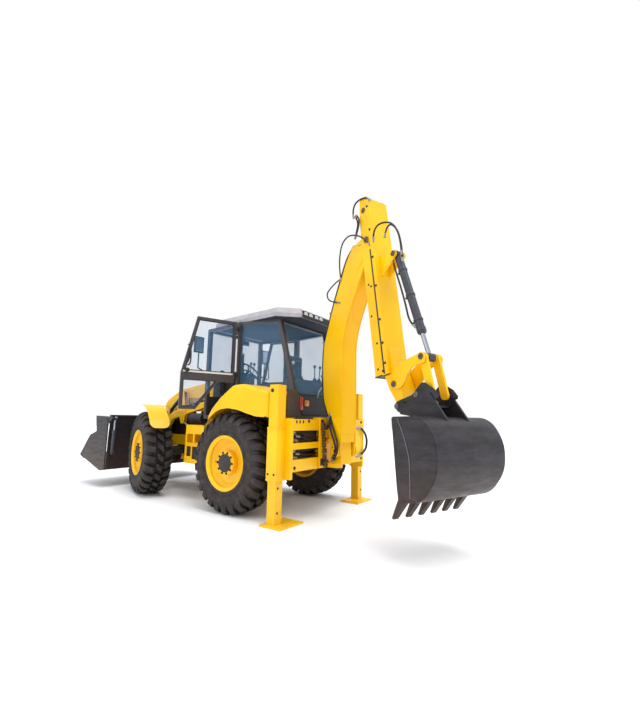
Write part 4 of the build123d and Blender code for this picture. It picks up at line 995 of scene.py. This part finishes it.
hoses("post_hoses", [
    [(-0.02, -0.115, 1.40), (0.04, -0.150, 1.29), (0.14, -0.165, 1.17), (0.225, -0.175, 1.05),
     (0.235, -0.165, 0.93), (0.16, -0.150, 0.81), (0.05, -0.115, 0.765)],
    [(-0.05, -0.110, 1.38), (0.00, -0.155, 1.26), (0.10, -0.180, 1.13), (0.190, -0.190, 1.03),
     (0.205, -0.180, 0.92), (0.13, -0.160, 0.83), (0.03, -0.105, 0.79)],
    [(-0.09, 0.105, 1.30), (-0.02, 0.160, 1.18), (0.10, 0.175, 1.05), (0.12, 0.165, 0.90),
     (0.05, 0.120, 0.80)],
], 0.014, "swing_post", arm_frame)

# ---- boom ----------------------------------------------------------------------------
BOOM_FACE = 0.1251                             # just outside the boom's side plates
BOOM_FRONT = [(-0.075, 1.32), (-0.20, 1.56), (-0.247, 1.80), (-0.252, 2.05), (-0.236, 2.40), (-0.13, 2.64),
              (-0.015, 2.94), (0.13, 3.22), (0.285, 3.52), (0.375, 3.625), (0.475, 3.692)]
hoses("boom_hoses", [[(r, y, z) for r, z in BOOM_FRONT] for y in (-0.112, -0.080, 0.112)], 0.012, "boom",
      arm_frame)
hoses("boom_head_hoses", [
    [(0.212, -0.130, 3.30), (0.214, -0.155, 3.40), (0.222, -0.17, 3.60), (0.290, -0.18, 3.80),
     (0.450, -0.18, 3.86), (0.660, -0.175, 3.775), (0.800, -0.165, 3.66), (0.86, -0.150, 3.58)],
    [(0.205, -0.130, 3.31), (0.15, -0.150, 3.29), (0.03, -0.17, 3.23), (-0.085, -0.175, 3.16),
     (-0.05, -0.17, 3.06), (0.06, -0.155, 3.00), (0.175, -0.130, 2.97)],
], 0.010, "boom", arm_frame)
clips = []
for r, z in ((-0.262, 1.95), (-0.228, 2.45), (-0.055, 2.86), (0.175, 3.305)):
    clips.append(panel("hose_clips", (r - 0.012, -0.132, z - 0.018), (r + 0.030, -0.060, z + 0.018), 0,
                       -1, 0.006, (-0.004, 0, 0), rounding=0.004))
finish_set("hose_clips", clips, steel, "boom", arm_frame)

# Doubler plates at the boom's head and foot, and weld beads along its joints.
HEAD_DOUBLER = [(0.395, 3.600), (0.520, 3.690), (0.700, 3.715), (0.868, 3.640), (0.862, 3.590),
                (0.700, 3.420), (0.560, 3.300)]
FOOT_DOUBLER = [(0.065, 0.965), (0.100, 1.075), (-0.015, 1.200), (-0.020, 1.345), (0.230, 1.345),
                (0.235, 1.060), (0.222, 0.950)]
for side, name in SIDES:
    for title, outline, thickness, corner in (("boom_head_doubler_", HEAD_DOUBLER, 0.006, 0.03),
                                              ("boom_foot_doubler_", FOOT_DOUBLER, 0.005, 0.02)):
        doubler = cut_plate(title + name, outline, side * BOOM_FACE, side * (BOOM_FACE + thickness),
                            0.002, corner)
        finish_piece(doubler, yellow, "boom", arm_frame)
apron = panel("boom_foot_apron", (0.196, -0.1085, 1.020), (0.250, 0.1085, 1.142), 0, 1, 0.012,
              (-0.003, 0, 0), rounding=0.004)
finish_piece(apron, yellow, "boom", arm_frame)
FRONT_SEAM = [(-0.201, 2.410), (-0.081, 2.690), (0.039, 2.970), (0.179, 3.230), (0.334, 3.530)]
REAR_SEAM = [(0.256, 1.15), (0.257, 2.0), (0.258, 2.39), (0.358, 2.68), (0.488, 2.93), (0.698, 3.29),
             (0.873, 3.56)]
beads = []
for side in (1, -1):
    for seam, y, radius in ((FRONT_SEAM, 0.1105, 0.004), (REAR_SEAM, 0.110, 0.005)):
        beads.append(tube("boom_weld", [(r, side * y, z) for r, z in seam], radius, 2))
finish_set("boom_weld", beads, yellow, "boom", arm_frame)


# ---- pins ----------------------------------------------------------------------------
def pin_end(name, centre, side, radius):
    """A pin's end: a turned head with a raised rim and a grease nipple, on the face at a point."""
    profile = [(1.25, 0.0), (1.25, 0.007), (1.1, 0.010), (0.75, 0.010), (0.65, 0.007), (0.3, 0.007),
               (0.25, 0.016)]
    profile = [(0.001, 0.0)] + [(radius * share, height) for share, height in profile] + [(0.001, 0.016)]
    return recalculated(set_at(spun(name, profile, "Y"), centre, mirrored(side)))


# Each set of pins, as (x, y, z, radius), with its material and body.
for name, spots, material, body in (
        ("boom_pin_ends", ((0.805, 0.1612, 3.660, 0.034),), pin_steel, "boom"),
        ("dipper_pin_ends", ((0.725, 0.1452, 4.110, 0.030),), pin_steel, "dipper"),
        ("extension_pin_ends", ((1.285, 0.1452, 1.740, 0.030), (1.225, 0.0852, 3.340, 0.028)), pin_steel,
         "dipper_extension"),
        ("idler_pin_ends", ((1.695, 0.1432, 2.010, 0.028),), pin_steel, "idler_links"),
        ("coupler_pin_ends", ((1.335, 0.1512, 1.487, 0.024), (1.627, 0.1512, 1.609, 0.026),
                              (1.889, 0.1452, 1.503, 0.024)), bare_edge, "hoe_bucket")):
    ends = [pin_end(name, (x, side * y, z), side, radius) for x, y, z, radius in spots for side in (1, -1)]
    finish_set(name, ends, material, body, arm_frame)

# The open rims round the cylinder bars' eyes.
ROD_EYE = 0.046
EYE_RIM = [(ROD_EYE - 0.006, -0.0455), (ROD_EYE + 0.0015, -0.0455), (ROD_EYE + 0.0015, 0.0455),
           (ROD_EYE - 0.006, 0.0455)]
BOOM_EYE, DIPPER_EYE, BUCKET_EYE = (-0.100, 2.230), (0.725, 4.110), (1.695, 2.010)
for body, (x, z) in (("boom_rod", BOOM_EYE), ("dipper_rod", DIPPER_EYE), ("bucket_rod", BUCKET_EYE)):
    eye = set_at(spun(body + "_eye", EYE_RIM, "Y", 40), (x, 0, z))
    finish_piece(eye, barrel_paint, body, arm_frame)

# ---- dipper --------------------------------------------------------------------------
LEAN = math.radians(9.1)
along_dipper = Vector((math.sin(LEAN), 0, -math.cos(LEAN)))
to_rear = Vector((math.cos(LEAN), 0, math.sin(LEAN)))
dipper_turn = Matrix((along_dipper, Vector((0, 1, 0)), to_rear)).transposed().to_4x4()
# The dipper's frame: X down its length from the boom's tip pin, Y across, Z towards its rear.
dipper_frame = arm_frame @ Matrix.Translation((0.805, 0, 3.660)) @ dipper_turn
DIPPER_FACE = 0.1452

strips = [slab("dipper_slides", (0.16, side * 0.1450, 0.028), (1.82, side * 0.1475, 0.060), 5, 0.0008)
          for side in (1, -1)]
finish_set("dipper_slides", strips, casting, "dipper", dipper_frame)
for side, name in SIDES:
    adjusters = [(x, side * 0.1605, 0.088) for x in (-0.45, -0.10, 0.30, 0.70, 1.15, 1.45, 1.70)]
    bolts("slide_adjusters_" + name, adjusters, (0, side, 0), "dipper_extension", dipper_frame, 0.012)
spots = ((0.62, -0.06), (0.66, -0.02), (1.05, -0.07), (1.42, -0.03), (1.74, -0.06), (1.78, 0.02))
bolts("dipper_bolts", [(x, -DIPPER_FACE, z) for x, z in spots], (0, -1, 0), "dipper", dipper_frame, 0.011,
      0.009)
end_cap = panel("dipper_end_cap", (1.822, -0.150, -0.126), (1.8345, 0.150, 0.006), 0, 1, 0.014,
                (-0.004, 0, 0), step=True, rounding=0.003)
finish_piece(end_cap, casting, "dipper", dipper_frame)
ridge = panel("dipper_front_ridge", (0.56, -0.050, -0.1265), (1.79, 0.050, -0.1200), 2, -1, 0.012,
              (0, 0, 0.003), step=True, segments=1)
finish_piece(ridge, yellow, "dipper", dipper_frame)
hoses("dipper_head_hoses", [
    [(0.525, -0.155, 4.10), (0.522, -0.165, 4.17), (0.560, -0.165, 4.27), (0.660, -0.160, 4.294),
     (0.790, -0.155, 4.265), (0.86, -0.150, 4.20)],
    [(0.595, -0.150, 4.09), (0.665, -0.170, 4.02), (0.680, -0.175, 3.94), (0.650, -0.175, 3.86),
     (0.585, -0.155, 3.80)],
    [(0.570, -0.150, 4.08), (0.630, -0.165, 4.00), (0.645, -0.170, 3.92), (0.605, -0.165, 3.84),
     (0.560, -0.150, 3.79)],
], 0.011, "dipper", arm_frame)
hoses("extension_hoses", [
    [(0.955, -0.162, 3.60), (0.965, -0.175, 3.68), (1.03, -0.170, 3.765), (1.13, -0.13, 3.775),
     (1.24, -0.10, 3.72), (1.315, -0.08, 3.58), (1.345, -0.070, 3.42), (1.352, -0.066, 3.30)],
    [(1.16, -0.155, 3.57), (1.175, -0.15, 3.66), (1.225, -0.12, 3.72), (1.29, -0.07, 3.63),
     (1.325, -0.05, 3.47), (1.345, -0.045, 3.30), (1.350, -0.052, 3.22)],
], 0.011, "dipper_extension", arm_frame)


# ---- cylinders -----------------------------------------------------------------------
def cylinder_bands(name, base, eye, reach, radius, body):
    """The gland nut, open for the bar to run in, and clamp bands with their lugs round one barrel."""
    base, eye = Vector((base[0], 0, base[1])), Vector((eye[0], 0, eye[1]))
    turn = Vector((0, 0, 1)).rotation_difference(eye - base).to_matrix().to_4x4()
    bore, outside = radius * 0.62, radius * 1.02
    bands = [spun(name, [(bore, reach + 0.001), (outside, reach + 0.001), (outside, reach + 0.014),
                         (radius * 0.9, reach + 0.020), (bore, reach + 0.020)])]
    for share in (0.22, 0.55, 0.86):
        z = reach * share
        inside, crest = radius * 1.001, radius + 0.006
        bands.append(spun(name, [(inside, z - 0.014), (crest, z - 0.014), (crest + 0.001, z),
                                 (crest, z + 0.014), (inside, z + 0.014)]))
        bands.append(slab(name, (radius * 0.9, -0.016, z - 0.012), (radius + 0.028, 0.016, z + 0.012), 1,
                          0.003))
    finish_set(name + "_bands", bands, barrel_paint, body, arm_frame @ Matrix.Translation(base) @ turn)


BUCKET_RAM_BASE = (1.225, 3.340)
cylinder_bands("boom_ram", (-0.075, 1.165), BOOM_EYE, 0.960, 0.058, "boom_barrel")
cylinder_bands("dipper_ram", (-0.017, 2.692), DIPPER_EYE, 0.940, 0.056, "dipper_barrel")
cylinder_bands("bucket_ram", BUCKET_RAM_BASE, BUCKET_EYE, 1.090, 0.048, "bucket_barrel")
# A hose along the bucket cylinder's outer side, as (distance along it, distance out, y).
ram_base, ram_eye = (Vector((x, 0, z)) for x, z in (BUCKET_RAM_BASE, BUCKET_EYE))
ram_axis = (ram_eye - ram_base).normalized()
ram_side = Vector((ram_axis.z, 0, -ram_axis.x))
beside = ((0.06, 0.062, -0.045), (0.14, 0.066, -0.050), (0.36, 0.064, -0.045), (0.70, 0.066, -0.050),
          (0.92, 0.085, -0.055), (1.00, 0.045, -0.035))
line = [ram_base + ram_axis * distance + ram_side * out + Vector((0, y, 0)) for distance, out, y in beside]
hoses("bucket_ram_hoses", [line], 0.011, "bucket_barrel", arm_frame)

# ---- idler links ---------------------------------------------------------------------
HOOK = [(1.231, 1.764), (1.239, 1.843), (1.289, 1.913), (1.400, 1.978), (1.523, 2.010), (1.658, 2.045),
        (1.722, 2.048), (1.752, 2.005), (1.735, 1.945), (1.640, 1.928), (1.556, 1.898), (1.497, 1.837),
        (1.462, 1.764), (1.400, 1.695), (1.330, 1.684), (1.262, 1.700)]
LINK_INSIDE, LINK_OUTSIDE = 0.1230, 0.1430
hooks = []
for side in (1, -1):
    hooks.append(cut_plate("hooked_idlers", HOOK, side * LINK_INSIDE, side * LINK_OUTSIDE))
    for x, z in ((1.285, 1.740), BUCKET_EYE):
        rim = spun("hooked_idlers", [(0.034, 0.0), (0.046, 0.0), (0.046, 0.0015), (0.034, 0.0015)], "Y")
        hooks.append(recalculated(set_at(rim, (x, side * LINK_OUTSIDE, z), mirrored(side))))
    start = side * (LINK_INSIDE + 0.0005)
    end = start * 0.42
    stub = drum("hooked_idlers", (ram_eye.x, start, ram_eye.z), (ram_eye.x, end, ram_eye.z), 0.030, 24)
    hooks.append(round_edges(stub, 0.002, 1))
hooked = joined("hooked_idlers", hooks)
finish_piece(hooked, yellow, "idler_links", arm_frame)
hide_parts("idler_links")

# ---- backhoe bucket ------------------------------------------------------------------
# The quick coupler's cheeks stand proud of the bucket's ears, which leaves a dark line below them.
CHEEK = [(1.300, 1.498), (1.340, 1.541), (1.563, 1.604), (1.701, 1.728), (1.745, 1.730), (1.870, 1.660),
         (1.925, 1.596), (1.921, 1.565), (1.739, 1.503), (1.532, 1.437), (1.466, 1.404), (1.369, 1.424),
         (1.308, 1.464)]
EAR_FACE, CHEEK_FACE = 0.1452, 0.1512
slot_shadows = []
for side, name in SIDES:
    cheek = cut_plate("coupler_cheek_" + name, CHEEK, side * EAR_FACE, side * CHEEK_FACE, 0.0015)
    finish_piece(cheek, plate_steel, "hoe_bucket", arm_frame)
    # Black patches on each cheek and ear: painted shadow standing in for the shade inside the coupler's slots.
    for x, z, face in ((1.700, 1.664, CHEEK_FACE), (1.805, 1.470, EAR_FACE)):
        slot_shadows.append(slab("coupler_locks", (x - 0.012, side * face, z - 0.028),
                          (x + 0.012, side * (face + 0.002), z + 0.028), 1, 0.006, 2))
finish_set("coupler_locks", slot_shadows, black_plastic, "hoe_bucket", arm_frame)

CUTTER = [(1.648, 1.120), (1.690, 0.700), (1.712, 0.562), (1.780, 0.572), (1.750, 0.720), (1.706, 1.120)]
SHELL_EDGE = [(1.712, 0.570), (1.870, 0.588), (1.935, 0.600), (1.990, 0.627), (2.040, 0.664),
              (2.080, 0.709), (2.117, 0.762), (2.166, 0.857), (2.186, 0.963), (2.187, 1.015),
              (2.174, 1.123), (2.129, 1.226), (2.063, 1.308), (2.019, 1.342), (1.966, 1.362),
              (1.905, 1.369), (1.640, 1.362)]
SIDE_RIB = [(1.705, 0.501, 1.355), (1.774, 0.502, 1.240), (1.842, 0.502, 1.055), (1.873, 0.502, 0.935),
            (1.868, 0.502, 0.620)]
cutters, ribs = [], []
for side in (1, -1):
    cutters.append(cut_plate("side_cutters", CUTTER, side * 0.4795, side * 0.5005, 0.002))
    cutters.append(tube("side_cutters", [(r, side * 0.4995, z) for r, z in SHELL_EDGE], 0.006, 2))
    ribs.append(tube("bucket_side_ribs", [(r, side * y, z) for r, y, z in SIDE_RIB], 0.006, 2))
finish_set("side_cutters", cutters, plate_steel, "hoe_bucket", arm_frame)
finish_set("bucket_side_ribs", ribs, bare_edge, "hoe_bucket", arm_frame)
TOOTH_CAP = [(1.768, 0.552), (1.772, 0.596), (1.700, 0.600), (1.640, 0.472), (1.603, 0.392), (1.617, 0.384),
             (1.668, 0.448)]
caps = []
for index in range(6):
    middle = -0.45 + index * 0.18
    caps.append(cut_plate("tooth_caps", TOOTH_CAP, middle - 0.036, middle + 0.036, 0.004))
    pin = drum("tooth_caps", (1.722, middle - 0.041, 0.575), (1.722, middle + 0.041, 0.575), 0.011, 16)
    caps.append(round_edges(pin, 0.002, 1))
finish_set("tooth_caps", caps, plate_steel, "hoe_bucket", arm_frame)

# ---- loader and front ----------------------------------------------------------------
HEADLAMP_RING = [(0.052, -0.004), (0.066, -0.004), (0.066, 0.006), (0.060, 0.010), (0.053, 0.008)]
HEADLAMP_LENS = [(0.001, -0.002), (0.054, -0.002), (0.054, 0.005), (0.030, 0.009), (0.001, 0.010)]
nose = low_high("bonnet")[1].x - machine.x
rings, lenses = [], []
for side in (1, -1):
    centre = (nose - 0.001, side * 0.21, 1.30)
    rings.append(set_at(spun("headlamp_rings", HEADLAMP_RING), centre, FACING_FRONT))
    lenses.append(set_at(spun("headlamps", HEADLAMP_LENS, "Z", 32, 60), centre, FACING_FRONT))
finish_set("headlamp_rings", rings, black_plastic, "frame")
finish_set("headlamps", lenses, clear_lens, "frame")
slats = []
for index in range(9):
    z = 0.88 + index * 0.038
    slats.append(tapered("grille_slats", (nose - 0.004, -0.27, z), (nose + 0.010, 0.27, z + 0.020), 0, 1,
                         (1, 0.98, 0.5), 0.002))
finish_set("grille_slats", slats, black_plastic, "frame")
vents = []
for side in (1, -1):
    for index in range(8):
        x = 1.50 + index * 0.055
        vents.append(tapered("bonnet_vents", (x, side * 0.3162, 1.52), (x + 0.028, side * 0.3202, 1.66),
                             1, side, (0.6, 1, 0.9), 0.001))
finish_set("bonnet_vents", vents, black_plastic, "bonnet")
STACK = [(0.0455, 0.0), (0.049, 0.0), (0.049, 0.300), (0.056, 0.306), (0.056, 0.318), (0.0455, 0.318)]
stack = set_at(spun("exhaust_tip", STACK), (1.110, -0.260, 1.990))
finish_piece(stack, casting, "frame")

FENDER_LIP = [(0.318, 1.204), (0.257, 1.297), (0.112, 1.399), (0.009, 1.438), (-0.157, 1.457),
              (-0.359, 1.430), (-0.497, 1.393), (-0.685, 1.350), (-0.888, 1.340)]
edging = [tube("fender_edging", [(x, side * 1.1305, z) for x, z in FENDER_LIP], 0.0045, 2)
          for side in (1, -1)]
finish_set("fender_edging", edging, black_plastic, "frame")

# The loader's pin ends, the hoses along its arms, and the clam's cutting edge.
ends = [pin_end("loader_pin_ends", (x, side * 0.4292, z), side, radius)
        for side in (1, -1) for x, z, radius in ((1.150, 1.560, 0.034), (0.900, 0.700, 0.024))]
finish_set("loader_pin_ends", ends, casting, "frame")
ALONG_ARM = [(1.22, 1.625), (1.60, 1.545), (2.10, 1.447), (2.30, 1.375), (2.62, 0.985), (2.80, 0.765)]
arm_lines = [[(x, side * y, z) for x, z in ALONG_ARM] for side in (1, -1) for y in (0.372, 0.402)]
hoses("loader_hoses", on_machine(arm_lines), 0.011, "loader_arms")
EDGE_SLOPE = math.atan2(0.240, 0.820)
EDGE_BACK = (3.86, 0, 0.478)
edge_piece = cube("cutting_edge", (3.86, -1.170, 0.470), (4.024, 1.170, 0.486))
edit()
select_faces(lambda normal: normal.x > 0.9)
bpy.ops.transform.resize(value=(1, 1, 0.35))
bpy.ops.mesh.select_all(action="SELECT")
bpy.ops.transform.rotate(value=EDGE_SLOPE, orient_axis="Y", center_override=EDGE_BACK)
done()
finish_piece(round_edges(edge_piece, 0.002, 1), plate_steel, "bucket_clam")

# ---- floor, light and camera ---------------------------------------------------------
clear()
bpy.ops.mesh.primitive_plane_add(size=80, location=(0, 0, 0))
floor = active()
floor.name = "floor"
settle()
floor_material, tree, shader, place = blank("matt white floor")
shader.inputs["Base Color"].default_value = colour("FBFBFC")
shader.inputs["Roughness"].default_value = 0.9
shader.inputs["Specular IOR Level"].default_value = 0.1
floor.data.materials.append(floor_material)

world = bpy.data.worlds.new("studio")
bpy.context.scene.world = world
world.use_nodes = True
tree = world.node_tree
tree.nodes.clear()
# Rays that the camera, the glass or a reflection sends see plain white instead of the soft light.
path = add(tree, "ShaderNodeLightPath")
seen = path.outputs["Is Camera Ray"]
for kind in ("Is Transmission Ray", "Is Glossy Ray"):
    seen = add(tree, "ShaderNodeMath", {"operation": "MAXIMUM"},
               {0: seen, 1: path.outputs[kind]}).outputs[0]
# The soft light is strongest overhead, as under a large ceiling softbox.
direction = add(tree, "ShaderNodeTexCoord").outputs["Generated"]
height = add(tree, "ShaderNodeSeparateXYZ", links={"Vector": direction}).outputs["Z"]
softbox = ranged(tree, height, (-0.1, 0.9), (0.26, 1.3))
soft = add(tree, "ShaderNodeBackground", links={"Color": colour("F4F7FB"), "Strength": softbox})
white = add(tree, "ShaderNodeBackground", links={"Color": (1, 1, 1, 1), "Strength": 1.0})
sky = add(tree, "ShaderNodeMixShader", links={"Fac": seen, 1: soft.outputs[0], 2: white.outputs[0]})
add(tree, "ShaderNodeOutputWorld", links={"Surface": sky.outputs[0]})

# The view's three turns, in radians.
YAW, PITCH, ROLL = -0.9529, 0.1381, 0.0192
forward = Vector((math.cos(PITCH) * math.cos(YAW), math.cos(PITCH) * math.sin(YAW), math.sin(PITCH)))
level = forward.cross(Vector((0, 0, 1))).normalized()
upright = level.cross(forward)
right = level * math.cos(ROLL) + upright * math.sin(ROLL)
up = upright * math.cos(ROLL) - level * math.sin(ROLL)


def sun(name, source, energy, angle):
    """A sun lamp whose light comes from a direction."""
    data = bpy.data.lights.new(name, "SUN")
    data.energy = energy
    data.angle = angle
    lamp = bpy.data.objects.new(name, data)
    bpy.context.collection.objects.link(lamp)
    lamp.rotation_euler = (-source).to_track_quat("-Z", "Y").to_euler()


sun("key", level * 0.35 - forward * 0.30 + Vector((0, 0, 1.25)), 1.65, 0.6)
sun("fill", level * -0.8 - forward * 0.6 + Vector((0, 0, 0.5)), 0.6, 0.9)

camera_data = bpy.data.cameras.new("camera")
camera_data.sensor_width = 36
camera_data.lens = 19.12
camera_data.clip_end = 200
camera = bpy.data.objects.new("camera", camera_data)
bpy.context.collection.objects.link(camera)
camera_place = body_frame @ Vector((-4.3284, 4.8140, 1.3506))
camera_turn = Matrix((right, up, -forward)).transposed().to_4x4()
camera.matrix_world = Matrix.Translation(camera_place) @ camera_turn
bpy.context.scene.camera = camera
bpy.context.scene.view_settings.view_transform = "Standard"
